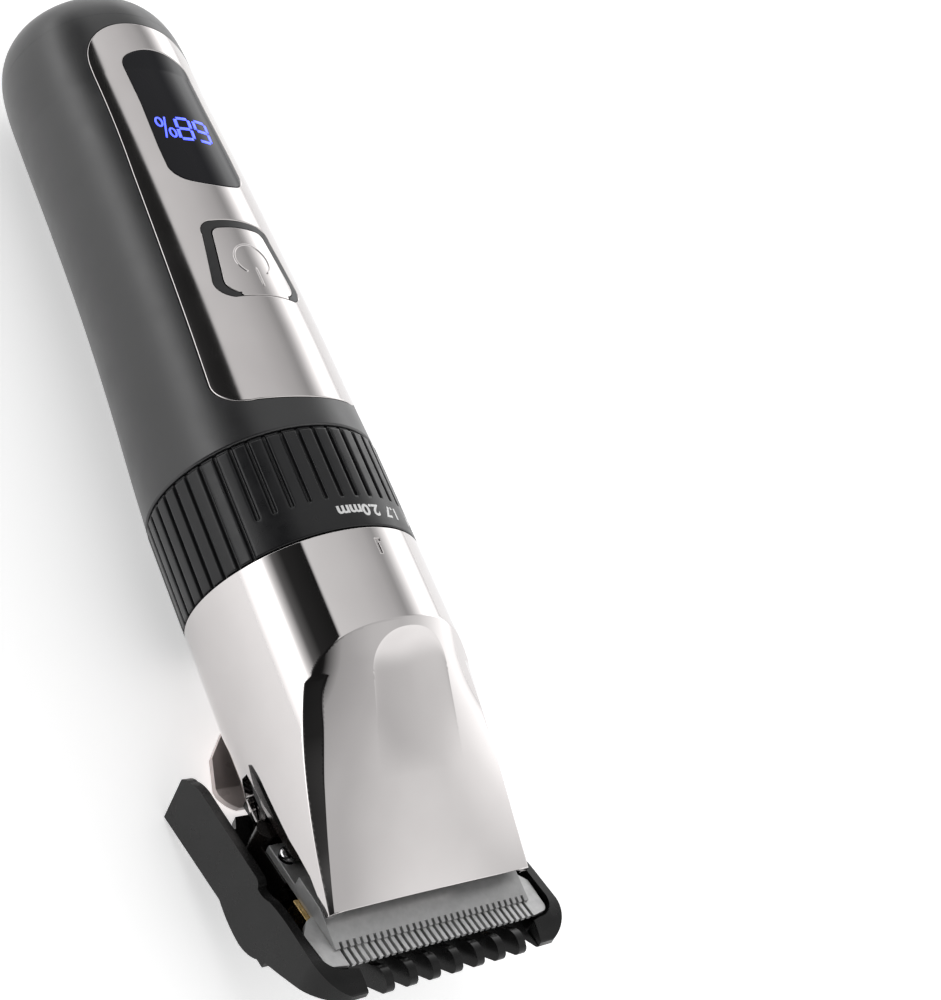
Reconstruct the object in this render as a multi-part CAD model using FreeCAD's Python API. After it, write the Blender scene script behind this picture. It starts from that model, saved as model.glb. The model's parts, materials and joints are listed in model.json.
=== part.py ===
"""Cordless pet clipper with a fitted guard comb, as separate pieces.

Every piece is drawn in the clipper's own frame: the barrel's axis is Y, the blade points to -Y, the
tail to +Y, and the front panel faces +Z.  y = 0 is where the length ring meets the chrome head.
The blade set is drawn in blade coordinates (x, s, h): s runs back from the fixed blade's tips along
the blade, h stands on its cutting face.  lay_down() then turns everything as it rests on a table,
on the comb's heel and its back, with the origin at the middle of its box's underside.
"""
import FreeCAD, Part
import math
import os

V = FreeCAD.Vector

# ---- driving dimensions, mm -------------------------------------------------------------------
REST_TILT = 1.85            # degrees, barrel axis against the table
BODY_R = 20.0               # ring and head radius
RING_LEN = 19.2
# barrel outside: y, radius, height of the section's centre
BARREL = [(19.5, 19.9, 0.0), (30.0, 19.5, 0.3), (41.0, 19.05, 0.77), (59.0, 18.4, 1.1),
          (82.0, 17.85, 0.84), (98.0, 17.55, 0.35)]
DOME_LEN = 23.7             # from the last barrel section to the tail end
DOME_POWER = 4.65           # superellipse power of the dome
WALL = 2.2
SKIN = 1.2                  # front panel, lens and button thickness
GAP = 0.12                  # seam between trim pieces
NECK_R = 17.2               # barrel neck that the ring turns on
CHASSIS_R, CHASSIS_BORE = 15.2, 13.8

PANEL_HALF = 14.2           # at the blade end; 11.6 at the tail end
PANEL_Y0, PANEL_Y1 = 24.65, 109.45
LENS_HALF, LENS_Y0, LENS_Y1 = 7.3, 69.9, 102.95
BUTTON_HINGE_Y = 45.5

RIB_COUNT = 45
RIB_GROOVE_W, RIB_GROOVE_D = 1.0, 0.75
BAND_LEN = 6.4              # smooth number band at the ring's blade end
BAND_FROM, BAND_TO = -50.0, 110.0   # degrees from +Z towards +X
RING_STEP = 20.0            # degrees between two length settings
RING_TURN = 4 * RING_STEP
LENGTH_TRAVEL = 1.2         # blade travel from 2.0 to 0.8 mm cutting length
CAM_PITCH = LENGTH_TRAVEL / RING_TURN     # mm per degree

HEAD_LEN = 52.4
HEAD_WALL = 1.5

MOTOR_R, MOTOR_Y0, MOTOR_Y1 = 12.2, -9.5, 20.5
SHAFT_R = 1.0
MOTOR_SCREW_X = 8.5
ECCENTRICITY = 1.2

BLADE_TILT = 19.0           # degrees between the blade plane and the barrel axis
BLADE_TIP = V(0, -59.2, 0.3)
TOOTH_COUNT, TOOTH_PITCH = 31, 1.25
BLADE_THICK = 1.2

COMB_HALF = 24.4            # half width of the guard comb
COMB_WALL = 1.5
FIN_PITCH = 4.4
FIN_COUNT = 7

BATTERY_R, BATTERY_Y0, BATTERY_LEN, BATTERY_Z = 9.2, 38.5, 65.0, -3.2
BOARD_Z = 8.0
BOARD_SCREW_X, BOARD_SCREW_Y = 9.6, (42.0, 99.0)
DETENT_Y = 12.0


# ---- small makers -----------------------------------------------------------------------------
def box(x0, x1, y0, y1, z0, z1):
    return Part.makeBox(x1 - x0, y1 - y0, z1 - z0, V(x0, y0, z0))


def cyl(radius, y0, y1, x=0.0, z=0.0):
    """Round bar along Y."""
    return Part.makeCylinder(radius, y1 - y0, V(x, y0, z), V(0, 1, 0))


def tube(r_out, r_in, y0, y1, z=0.0):
    return cyl(r_out, y0, y1, z=z).cut(cyl(r_in, y0 - 1, y1 + 1, z=z))


def post(radius, x, y, z0, z1):
    """Round bar along Z."""
    return Part.makeCylinder(radius, z1 - z0, V(x, y, z0), V(0, 0, 1))


def prism_x(outline_yz, x0, x1):
    """Polygon in Y and Z, drawn out along X."""
    points = [V(x0, y, z) for y, z in outline_yz]
    face = Part.Face(Part.makePolygon(points + points[:1]))
    return face.extrude(V(x1 - x0, 0, 0))


def prism_z(wire, z0, z1):
    """Closed wire drawn at z = 0, drawn out along Z."""
    solid = Part.Face(wire).extrude(V(0, 0, z1 - z0))
    solid.translate(V(0, 0, z0))
    return solid


def sweep_x(wire, x0, x1):
    """Closed wire whose X and Y stand for Y and Z, drawn out along X."""
    solid = Part.Face(wire).extrude(V(0, 0, x1 - x0))
    solid.rotate(V(0, 0, 0), V(1, 1, 1), 120)
    solid.translate(V(x0, 0, 0))
    return solid


def outline(*steps):
    """Closed wire in the XY plane. A step is a point (line to it) or a pair of points (arc to it)."""
    edges = []
    here = V(*steps[0], 0)
    for step in steps[1:]:
        if isinstance(step[0], tuple):
            via, there = V(*step[0], 0), V(*step[1], 0)
            edges.append(Part.Arc(here, via, there).toShape())
        else:
            there = V(*step, 0)
            edges.append(Part.LineSegment(here, there).toShape())
        here = there
    return Part.Wire(edges)


def mirrored(solid):
    """The solid's mirror image across X = 0."""
    return solid.mirror(V(0, 0, 0), V(1, 0, 0))


def fuse(first, *others):
    return first.fuse(list(others)).removeSplitter()


def on_blade(solid):
    """Move a piece from blade coordinates to the clipper's frame."""
    placed = solid.copy()
    placed.rotate(V(0, 0, 0), V(1, 0, 0), -BLADE_TILT)
    placed.translate(BLADE_TIP)
    return placed


# ---- barrel surface ---------------------------------------------------------------------------
def circle_wire(y, radius, z):
    return Part.Wire(Part.Circle(V(0, y, z), V(0, 1, 0), radius).toShape())


def barrel_solid(inset):
    """The barrel's outside moved inwards by inset."""
    sections = [circle_wire(y, r - inset, z) for y, r, z in BARREL]
    body = Part.makeLoft(sections, True, False)
    y_last, r_last, z_last = BARREL[-1]
    rise, reach = DOME_LEN - inset, r_last - inset
    points = []
    for i in range(13):
        turn = math.radians(90.0 * i / 12)
        across = reach * math.cos(turn) ** (2 / DOME_POWER) if i < 12 else 0.0
        points.append(V(0, y_last + rise * math.sin(turn) ** (2 / DOME_POWER), z_last + across))
    curve = Part.BSplineCurve()
    curve.interpolate(points)
    centre = V(0, y_last, z_last)
    edges = [curve.toShape(), Part.LineSegment(points[-1], centre).toShape(),
             Part.LineSegment(centre, points[0]).toShape()]
    dome = Part.Face(Part.Wire(edges)).revolve(centre, V(0, 1, 0), 360)
    return body.fuse(dome)


def barrel_skin(wire, proud=0.0, thick=SKIN):
    """Piece of the barrel's skin under an outline drawn in XY."""
    shell = barrel_solid(-proud).cut(barrel_solid(thick - proud))
    return shell.common(prism_z(wire, 2.0, 30.0))


def panel_outline(grow=0.0):
    """Narrows steadily towards the tail, where it ends in a flat arch."""
    g, w = grow, PANEL_HALF + grow
    low, top = PANEL_Y0 - grow, PANEL_Y1 + grow
    corner = ((10.65 + 0.83 * g, 105.9 + 0.56 * g), (8.1 + 0.37 * g, 107.9 + 0.93 * g))
    corner_back = ((-corner[0][0], corner[0][1]), (-11.6 - g, 102.8))
    return outline((w, 30.5), (11.7 + g, 90.0), (11.6 + g, 102.8), corner,
                   ((0, top), (-corner[1][0], corner[1][1])), corner_back, (-11.7 - g, 90.0), (-w, 30.5),
                   ((1.1 - w, 26.5), (4.5 - w, low + 0.5)), ((0, low), (w - 4.5, low + 0.5)),
                   ((w - 1.1, 26.5), (w, 30.5)))


def lens_outline(grow=0.0):
    """Slightly narrower towards the tail, with an arched tail end and a gently curved blade end."""
    g, w = grow, LENS_HALF + grow
    low, top = LENS_Y0 - grow, LENS_Y1 + grow
    return outline((w, 75.2), (w, 79.0), (w - 0.5, 90.0), (w - 0.5, 99.0),
                   ((w - 0.95, 100.6 + 0.5 * g), (w - 2.1, top - 1.3)), ((0, top), (2.1 - w, top - 1.3)),
                   ((0.95 - w, 100.6 + 0.5 * g), (0.5 - w, 99.0)), (0.5 - w, 90.0), (-w, 79.0),
                   (-w, 75.2), ((0.8 - w, low + 2.4), (2.7 - w, low + 0.85)),
                   ((0, low), (w - 2.7, low + 0.85)), ((w - 0.8, low + 2.4), (w, 75.2)))


def gasket_outer(grow=0.0):
    g = grow
    return outline((5.7 + g, 45.3), ((7.7 + g, 46.9), (8.2 + g, 49.6)), (6.7 + g, 59.3),
                   ((6.1 + g, 60.9 + g), (4.6, 61.5 + g)), (-4.6, 61.5 + g),
                   ((-6.1 - g, 60.9 + g), (-6.7 - g, 59.3)), (-8.2 - g, 49.6),
                   ((-7.7 - g, 46.9), (-5.7 - g, 45.3)), (5.7 + g, 45.3))


def gasket_inner(grow=0.0, base=44.0):
    g = grow
    return outline((4.8 + g, base), (4.8 + g, 46.0), ((6.1 + g, 47.2), (6.5 + g, 49.0)),
                   (5.1 + g, 58.2), ((4.7 + g, 59.2 + g), (3.7, 59.6 + g)), (-3.7, 59.6 + g),
                   ((-4.7 - g, 59.2 + g), (-5.1 - g, 58.2)), (-6.5 - g, 49.0),
                   ((-6.1 - g, 47.2), (-4.8 - g, 46.0)), (-4.8 - g, base), (4.8 + g, base))


# ---- barrel and trim --------------------------------------------------------------------------
def barrel_housing():
    shell = barrel_solid(0.0).cut(barrel_solid(WALL))
    neck = tube(NECK_R, CHASSIS_R + 0.1, 7.0, 23.0)
    collar = tube(18.6, NECK_R - 0.5, 19.5, 23.0)
    body = fuse(shell, neck, collar)
    pocket = barrel_skin(panel_outline(GAP), proud=0.5, thick=0.5 + SKIN + 0.05)
    body = body.cut(pocket)
    display_window = prism_z(lens_outline(-1.2), 5.0, 25.0)
    button_window = prism_z(gasket_inner(0.4, 45.4), 5.0, 25.0)
    port = fuse(box(-3.2, 3.2, 110, 125, -1.4, 2.1), cyl(1.75, 110, 125, x=3.2, z=0.35),
                cyl(1.75, 110, 125, x=-3.2, z=0.35))
    ball_hole = Part.makeCylinder(1.15, 4.0, V(0, DETENT_Y, -19.0), V(0, 0, 1))
    return body.cut([display_window, button_window, port, ball_hole])


def front_panel():
    panel = barrel_skin(panel_outline(), proud=0.1)
    openings = [prism_z(lens_outline(GAP), 5, 25), prism_z(gasket_outer(0.02), 5, 25)]
    return panel.cut(openings)


def display_lens():
    return barrel_skin(lens_outline(), proud=0.1)


def button_gasket():
    region = prism_z(gasket_outer(), 5, 25).cut(prism_z(gasket_inner(0.0, 40.0), 4, 26))
    shell = barrel_solid(0.1).cut(barrel_solid(SKIN))
    return shell.common(region)


def power_button():
    cap = barrel_skin(gasket_inner(-0.15, BUTTON_HINGE_Y), proud=0.15)
    foot = post(1.5, 0, 54.0, 15.6, 18.6)
    symbol = barrel_skin(Part.Wire(Part.Circle(V(0, 52.0, 0), V(0, 0, 1), 3.2).toShape()), 0.3, 0.2)
    symbol = symbol.cut([post(2.6, 0, 52.0, 10, 25), box(-1.1, 1.1, 47, 50.5, 10, 25)])
    bar = barrel_skin(outline((0.32, 47.6), (0.32, 51.4), (-0.32, 51.4), (-0.32, 47.6), (0.32, 47.6)),
                      0.3, 0.2)
    return fuse(cap, foot, symbol, bar)


def port_trim():
    y_end = BARREL[-1][0] + DOME_LEN
    ring = fuse(box(-3.2, 3.2, y_end - 3, y_end - 0.6, -1.3, 2.0),
                cyl(1.65, y_end - 3, y_end - 0.6, x=3.2, z=0.35),
                cyl(1.65, y_end - 3, y_end - 0.6, x=-3.2, z=0.35))
    hole = fuse(box(-2.85, 2.85, y_end - 4, y_end, -1.28 + 0.02, 1.96),
                cyl(1.61, y_end - 4, y_end, x=2.85, z=0.35),
                cyl(1.61, y_end - 4, y_end, x=-2.85, z=0.35))
    return ring.cut(hole)


def seal_ring():
    return Part.makeTorus(NECK_R + 0.55, 0.5, V(0, 18.5, 0), V(0, 1, 0))


# ---- length ring ------------------------------------------------------------------------------
def length_ring():
    ring = tube(BODY_R, NECK_R + 0.1, 0.15, RING_LEN)
    ring = ring.cut(tube(18.4, 16.0, 17.9, RING_LEN + 1))
    ring = ring.cut(tube(BODY_R + 2, BODY_R - 0.35, RING_LEN - 0.7, RING_LEN + 1))
    grooves = []
    for i in range(RIB_COUNT):
        angle = i * 360.0 / RIB_COUNT
        signed = (angle + 180.0) % 360.0 - 180.0
        start = BAND_LEN if BAND_FROM < signed < BAND_TO else -1.0
        groove = box(-RIB_GROOVE_W / 2, RIB_GROOVE_W / 2, start, RING_LEN - 0.9,
                     BODY_R - RIB_GROOVE_D, BODY_R + 2)
        groove.rotate(V(0, 0, 0), V(0, 1, 0), angle)
        grooves.append(groove)
    dimples = []
    for step in range(5):
        dimple = Part.makeSphere(1.2, V(0, DETENT_Y, -(NECK_R + 0.3)))
        dimple.rotate(V(0, 0, 0), V(0, 1, 0), step * RING_STEP)
        dimples.append(dimple)
    stop = box(-2.0, 2.0, -1, 2.2, BODY_R - 0.5, BODY_R + 1)
    stop.rotate(V(0, 0, 0), V(0, 1, 0), BAND_FROM + 18)
    return ring.cut(grooves + dimples + [stop])


def cam_sleeve():
    """Sleeve in the ring whose front face is a ramp that pushes the blade carriage."""
    r_out, r_in = NECK_R, CHASSIS_R + 0.3
    sections = []
    for i in range(9):
        angle = 150.0 + 16.0 * i
        face = -3.7 - CAM_PITCH * (angle - 180.0)
        a = math.radians(angle)
        corners = [V(r * math.sin(a), y, r * math.cos(a))
                   for r, y in ((8.0, 1.0), (30.0, 1.0), (30.0, face), (8.0, face))]
        sections.append(Part.makePolygon(corners + corners[:1]))
    wedge = Part.makeLoft(sections, True, True)
    ramp = tube(r_out, r_in, -6.0, 0.5).common(wedge)
    return fuse(tube(r_out, r_in, 0.2, 6.4), ramp)


def detent_ball():
    """Click ball of the ring, drawn pressed in, just under the neck's surface."""
    return Part.makeSphere(1.1, V(0, DETENT_Y, -(NECK_R - 1.1)))


# ---- chrome head ------------------------------------------------------------------------------
# y, front middle z, front corner x and z, side corner angle from +Z
HEAD = [(0.0, 20.0, None, None, 52.0), (-15.9, 20.0, None, None, 52.0),
        (-21.0, 17.5, 14.5, 12.4, 56.0), (-28.5, 13.9, 16.5, 10.1, 65.5),
        (-36.0, 10.4, 17.9, 7.5, 73.0), (-44.0, 6.6, 18.8, 4.9, 79.5), (-HEAD_LEN, 2.7, 19.7, 2.4, 85.0)]


def head_section(y, mid_z, corner_x, corner_z, side_angle, inset):
    radius = BODY_R - inset
    if corner_x is None:
        corner = V(radius * math.sin(math.radians(35)), y, radius * math.cos(math.radians(35)))
    else:
        scale = 1 - inset / math.hypot(corner_x, corner_z)
        corner = V(corner_x * scale, y, corner_z * scale - 0.3 * inset)
    side = V(radius * math.sin(math.radians(side_angle)), y, radius * math.cos(math.radians(side_angle)))
    top = V(0, y, mid_z - inset)
    left_corner, left_side = V(-corner.x, y, corner.z), V(-side.x, y, side.z)
    if corner_x is None:
        half = math.radians(35 + side_angle) / 2
        bulge = V(radius * math.sin(half), y, radius * math.cos(half))
        chamfer = Part.Arc(corner, bulge, side).toShape()
        left_chamfer = Part.Arc(left_side, V(-bulge.x, y, bulge.z), left_corner).toShape()
    else:
        chamfer = Part.LineSegment(corner, side).toShape()
        left_chamfer = Part.LineSegment(left_side, left_corner).toShape()
    back = Part.Arc(side, V(0, y, -radius), left_side).toShape()
    front = Part.Arc(left_corner, top, corner).toShape()
    return Part.Wire([chamfer, back, left_chamfer, front])


def head_solid(inset):
    return Part.makeLoft([head_section(*row, inset) for row in HEAD], True, True)


def head_shell():
    shell = head_solid(0.0).cut(head_solid(HEAD_WALL))
    boss = tube(BODY_R - HEAD_WALL + 0.05, CHASSIS_R + 0.05, -11.0, -6.5)
    carriage_way = box(-5.2, 5.2, -12, 0, -18.45, -14.0)
    shell = fuse(shell, boss.cut(carriage_way))
    side_opening = prism_x([(-27.0, -5.2), (-33.0, -3.6), (-38.0, -1.0), (-42.0, 0.1), (-46.0, 0.9),
                            (-60.0, 0.9), (-60.0, -30.0), (-33.5, -30.0), (-33.5, -8.6),
                            (-28.8, -10.4), (-26.6, -7.8)], -30, 30)
    back_opening = prism_x([(-14.0, -30.0), (-14.0, -15.5), (-22.0, -14.0), (-29.0, -12.4),
                            (-34.0, -10.4), (-34.0, -30.0)], -30, 30)
    marker = fuse(box(-0.3, 0.3, -4.7, -2.4, BODY_R - 0.25, BODY_R + 1),
                  box(-0.3, 0.7, -2.8, -2.3, BODY_R - 0.25, BODY_R + 1))
    frame_room = on_blade(prism_z(frame_outline(0.2), -8.0, -0.9))
    return shell.cut([side_opening, back_opening, marker, frame_room])


def heel_plate():
    """Chrome tongue that carries the head's back on and flares flat towards the comb's plate."""
    thick = 1.1
    sections = []
    for y, half, edge_z, mid_z in ((-14.15, 12.2, -15.85, -20.0), (-18.5, 15.0, -18.6, -20.4),
                                   (-23.0, 15.0, -20.5, -20.6), (-27.0, 15.0, -19.6, -19.7)):
        under = Part.Arc(V(-half, y, edge_z), V(0, y, mid_z), V(half, y, edge_z)).toShape()
        top = Part.makePolygon([V(half, y, edge_z), V(half, y, edge_z + thick),
                                V(-half, y, edge_z + thick), V(-half, y, edge_z)])
        sections.append(Part.Wire([under] + top.Edges))
    block = Part.makeLoft(sections, True, True)
    tongue = prism_z(outline((15.0, -24.0), (15.0, -22.0), ((13.2, -15.2), (8.0, -13.0)), (-8.0, -13.0),
                             ((-13.2, -15.2), (-15.0, -22.0)), (-15.0, -24.0),
                             ((-13.6, -26.3), (-10.0, -27.5)), (10.0, -27.5),
                             ((13.6, -26.3), (15.0, -24.0))), -30, 0)
    arm_way = box(-4.8, 4.8, -28.0, -12.0, -17.9, 0.0)
    return block.common(tongue).cut([head_shell(), arm_way])


def head_liner():
    """Black inner frame seen in the head's side openings."""
    side = prism_x([(-25.6, -3.4), (-33.0, -1.9), (-42.0, 1.6), (-51.6, 1.6), (-51.4, 0.7),
                    (-44.5, -0.3), (-41.0, -3.8), (-35.0, -6.4), (-29.5, -8.8), (-26.2, -8.0)],
                   16.6, 18.2)
    bridge = box(-16.7, 16.7, -29.0, -26.2, -6.9, -5.2)
    return fuse(side, mirrored(side), bridge).common(head_solid(HEAD_WALL + 0.06))


# ---- inside -----------------------------------------------------------------------------------
def inner_chassis():
    nose = tube(CHASSIS_R, CHASSIS_BORE, -12.0, 25.0)
    bulkhead_holes = [cyl(0.97, -13, 0, x=x) for x in (-MOTOR_SCREW_X, MOTOR_SCREW_X)]
    bulkhead = cyl(CHASSIS_R, -12.0, -10.4).cut([cyl(4.2, -13, 0)] + bulkhead_holes)
    trough = tube(15.0, 13.6, 25.0, 106.0, z=0.4).cut(box(-20, 20, 20, 120, 1.5, 20))
    ribs = []
    for y in (34.5, 104.4):
        rib = cyl(14.9, y, y + 1.6, z=0.4).cut(box(-20, 20, 20, 120, 7.4, 20))
        ribs.append(rib)
    link = cyl(14.2, 33.4, 36.1, z=0.2).cut(box(-20, 20, 20, 120, 7.4, 20))
    rails = [box(x - 1.2, x + 1.2, 34.5, 106.0, 1.0, 7.4) for x in (-BOARD_SCREW_X, BOARD_SCREW_X)]
    cell_space = cyl(BATTERY_R + 0.15, BATTERY_Y0 - 0.5, BATTERY_Y0 + BATTERY_LEN + 0.7, z=BATTERY_Z)
    frame = fuse(nose, bulkhead, trough, link, *ribs, *rails).cut(cell_space)
    screw_holes = [post(0.85, x, y, 2.0, 8.0) for x in (-BOARD_SCREW_X, BOARD_SCREW_X)
                   for y in BOARD_SCREW_Y]
    notch = box(-5.2, 5.2, -13, -3.5, -16, -14.2)
    ball_cup = Part.makeCylinder(1.2, 1.6, V(0, DETENT_Y, -16.0), V(0, 0, 1))
    return frame.cut(screw_holes + [notch, ball_cup])


def damper_ring():
    return tube(CHASSIS_BORE - 0.02, MOTOR_R + 0.02, MOTOR_Y0 + 3.5, MOTOR_Y0 + 9.5)


def motor_can():
    can = cyl(MOTOR_R, MOTOR_Y0, MOTOR_Y1)
    nose = cyl(3.4, MOTOR_Y0 - 1.8, MOTOR_Y0)
    tail = cyl(4.0, MOTOR_Y1, MOTOR_Y1 + 0.8)
    hollow = fuse(cyl(SHAFT_R + 1.5, MOTOR_Y0 - 3, MOTOR_Y0 + 2.0),
                  cyl(MOTOR_R - 1.6, MOTOR_Y0 + 2.0, MOTOR_Y1 - 2.0))
    screw_holes = [cyl(0.97, MOTOR_Y0 - 1, MOTOR_Y0 + 3, x=x) for x in (-MOTOR_SCREW_X, MOTOR_SCREW_X)]
    return fuse(can, nose, tail).cut([hollow] + screw_holes)


def motor_bearing():
    return tube(SHAFT_R + 1.48, SHAFT_R + 0.03, MOTOR_Y0 - 1.8, MOTOR_Y0 + 1.9)


def motor_rotor():
    shaft = cyl(SHAFT_R, -16.4, MOTOR_Y0 + 26.5)
    core = fuse(cyl(9.2, MOTOR_Y0 + 4.5, MOTOR_Y0 + 19.5), cyl(3.4, MOTOR_Y0 + 19.0, MOTOR_Y0 + 25.5))
    slots = []
    for i in range(3):
        slot = box(-1.4, 1.4, MOTOR_Y0 + 3.5, MOTOR_Y0 + 20.5, 4.2, 12.0)
        slot.rotate(V(0, 0, 0), V(0, 1, 0), 120.0 * i)
        slots.append(slot)
    return fuse(shaft, core.cut(slots))


def motor_magnets():
    ring = tube(MOTOR_R - 1.65, 9.7, MOTOR_Y0 + 3.5, MOTOR_Y0 + 20.5)
    gaps = box(-1.2, 1.2, MOTOR_Y0, MOTOR_Y1, -15, 15)
    return ring.cut(gaps)


def motor_screws():
    screws = []
    for x in (-MOTOR_SCREW_X, MOTOR_SCREW_X):
        head = cyl(1.9, -13.4, -12.05, x=x)
        shank = cyl(0.95, -12.1, MOTOR_Y0 + 1.8, x=x)
        screws.append(fuse(head, shank))
    return Part.makeCompound(screws)


def eccentric_cam():
    disc = tube(3.9, SHAFT_R + 0.0, -17.0, -13.8)
    pin = cyl(1.25, -22.5, -16.9, z=-ECCENTRICITY)
    return fuse(disc, pin, cyl(3.9, -18.0, -16.4))


def battery_cell():
    can = cyl(BATTERY_R, BATTERY_Y0, BATTERY_Y0 + BATTERY_LEN - 1.0, z=BATTERY_Z)
    cap = cyl(3.0, BATTERY_Y0 + BATTERY_LEN - 1.0, BATTERY_Y0 + BATTERY_LEN, z=BATTERY_Z)
    return fuse(can, cap)


def battery_tabs():
    front = box(-2.0, 2.0, BATTERY_Y0 - 0.25, BATTERY_Y0, BATTERY_Z - 3, BOARD_Z - 1.5)
    y_rear = BATTERY_Y0 + BATTERY_LEN
    rear = box(-2.0, 2.0, y_rear, y_rear + 0.25, BATTERY_Z - 3, BOARD_Z - 1.5)
    return Part.makeCompound([front, rear])


def control_board():
    board = box(-11.0, 11.0, 38.0, 106.0, BOARD_Z, BOARD_Z + 1.2)
    holes = [post(0.95, x, y, BOARD_Z - 1, BOARD_Z + 3) for x in (-BOARD_SCREW_X, BOARD_SCREW_X)
             for y in BOARD_SCREW_Y]
    chips = [box(-4.0, 4.0, 63.5, 68.5, BOARD_Z + 1.1, BOARD_Z + 2.6),
             box(-7.5, -4.0, 46.0, 50.0, BOARD_Z + 1.1, BOARD_Z + 2.4),
             box(5.5, 8.0, 62.0, 68.0, BOARD_Z + 1.1, BOARD_Z + 2.2)]
    return fuse(board.cut(holes), *chips)


def board_screws():
    screws = []
    for x in (-BOARD_SCREW_X, BOARD_SCREW_X):
        for y in BOARD_SCREW_Y:
            shank = post(0.8, x, y, BOARD_Z - 4.0, BOARD_Z + 1.3)
            head = post(1.4, x, y, BOARD_Z + 1.22, BOARD_Z + 2.2)
            screws.append(fuse(shank, head))
    return Part.makeCompound(screws)


def tact_switch():
    body = box(-3.0, 3.0, 51.0, 57.0, BOARD_Z + 1.2, BOARD_Z + 5.0)
    stem = post(1.6, 0, 54.0, BOARD_Z + 4.9, BOARD_Z + 6.6)
    return fuse(body, stem)


def display_module():
    return box(-5.9, 5.9, 72.5, 99.0, BOARD_Z + 1.2, 13.6)


def digit_segments():
    """Seven-segment figures 6 and 8 with a percent sign; the text's top points to the blade."""
    def digit(x_mid, lit):
        w, h, t = 1.15, 2.3, 0.5
        y_mid = 83.1
        bars = {"a": (-w, w, -h - t / 2, -h + t / 2), "g": (-w, w, -t / 2, t / 2),
                "d": (-w, w, h - t / 2, h + t / 2),
                "b": (-w - t, -w, -h, -t / 2), "c": (-w - t, -w, t / 2, h),
                "f": (w, w + t, -h, -t / 2), "e": (w, w + t, t / 2, h)}
        return [box(x_mid + x0, x_mid + x1, y_mid + y0, y_mid + y1, 13.6, 13.72)
                for x0, x1, y0, y1 in (bars[name] for name in lit)]

    percent = [post(0.5, -3.9, 82.0, 13.6, 13.72), post(0.5, -5.2, 84.6, 13.6, 13.72)]
    figures = digit(2.4, "acdefg") + digit(-1.3, "abcdefg") + percent
    return Part.makeCompound(figures)


def charge_socket():
    """Open metal shell of the charging socket with its contact tongue."""
    y_end = BARREL[-1][0] + DOME_LEN - 3.2
    outer = fuse(box(-2.84, 2.84, y_end - 7.3, y_end, -1.28, 1.98),
                 cyl(1.63, y_end - 7.3, y_end, x=2.84, z=0.35),
                 cyl(1.63, y_end - 7.3, y_end, x=-2.84, z=0.35))
    inner = fuse(box(-2.89, 2.89, y_end - 6.5, y_end + 1, -0.93, 1.63),
                 cyl(1.28, y_end - 6.5, y_end + 1, x=2.89, z=0.35),
                 cyl(1.28, y_end - 6.5, y_end + 1, x=-2.89, z=0.35))
    tongue = box(-3.3, 3.3, y_end - 7.0, y_end - 1.6, 0.0, 0.7)
    return fuse(outer.cut(inner), tongue)


def socket_board():
    y_end = BARREL[-1][0] + DOME_LEN - 3.2
    return box(-7.0, 7.0, 107.0, y_end - 1.5, -2.5, -1.3)


def motor_leads():
    """Two wires from the motor's terminals back to the board's front edge."""
    leads = []
    for x in (-5.0, 5.0):
        lift = cyl(0.6, MOTOR_Y1 + 0.9, 37.8, x=x, z=BOARD_Z + 0.6)
        leads.append(lift)
    return Part.makeCompound(leads)


# ---- blade set, in blade coordinates ----------------------------------------------------------
def teeth_gaps(root, width, bottom, top, phase):
    half = (TOOTH_COUNT - 1) / 2
    return [box((i - half + phase) * TOOTH_PITCH - width / 2, (i - half + phase) * TOOTH_PITCH + width / 2,
                -1.0, root, bottom, top) for i in range(TOOTH_COUNT - 1 + (1 if phase == 0 else 0))]


def fixed_blade():
    plate = prism_z(outline((18.8, 0.0), (21.0, 0.35), ((21.7, 0.8), (22.0, 1.6)), (22.4, 6.4),
                            (20.6, 8.6), (18.6, 9.4), (18.6, 22.8), (-18.6, 22.8), (-18.6, 9.4),
                            (-20.6, 8.6), (-22.4, 6.4), (-22.0, 1.6), ((-21.7, 0.8), (-21.0, 0.35)),
                            (-18.8, 0.0), (18.8, 0.0)), -BLADE_THICK, 0.0)
    bevel = prism_x([(-1.0, -0.45), (-1.0, -2.0), (5.0, -2.0), (5.0, -BLADE_THICK)], -30, 30)
    screw_holes = [post(1.35, x, 20.0, -3, 3) for x in (-17.0, 17.0)]
    return on_blade(plate.cut(teeth_gaps(4.4, 0.55, -3, 3, 0.5) + [bevel] + screw_holes))


def moving_blade():
    profile = [(2.7, 0.03), (2.7, 0.35), (4.6, 1.0), (8.5, 2.3), (14.5, 2.3), (14.5, 0.03)]
    body = prism_x(profile, -19.3, 19.3)
    return on_blade(body.cut(teeth_gaps(3.6, 0.5, -1, 4, 0.5)))


def drive_yoke():
    """Nylon fork on the moving blade; its slot is wide so that the cam pin clears it in any pose."""
    base = on_blade(box(-9.0, 9.0, 10.2, 14.3, 2.35, 4.2))
    side_view = [(-47.0, 1.2), (-44.6, -0.6), (-22.0, -4.2), (-18.9, -4.2), (-18.9, 3.6), (-21.4, 3.6),
                 (-22.4, -0.6), (-40.0, 1.6), (-46.6, 2.2)]
    arms = [prism_x(side_view, x - 1.3, x + 1.3) for x in (-5.3, 5.3)]
    return fuse(base, *arms)


def blade_carriage():
    """Slider that the ring pushes: a plate behind the moving blade and a lug that meets the cam."""
    plate = on_blade(box(-14.6, 14.6, 14.9, 26.5, 0.1, 1.9))
    arm = prism_x([(-36.4, -7.2), (-36.0, -5.8), (-27.5, -7.9), (-14.0, -13.2), (-13.2, -15.6),
                   (-4.1, -15.6), (-4.1, -17.0), (-14.5, -17.0), (-28.0, -10.0), (-33.6, -8.2)],
                  -4.0, 4.0)
    return fuse(plate, arm)


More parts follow.
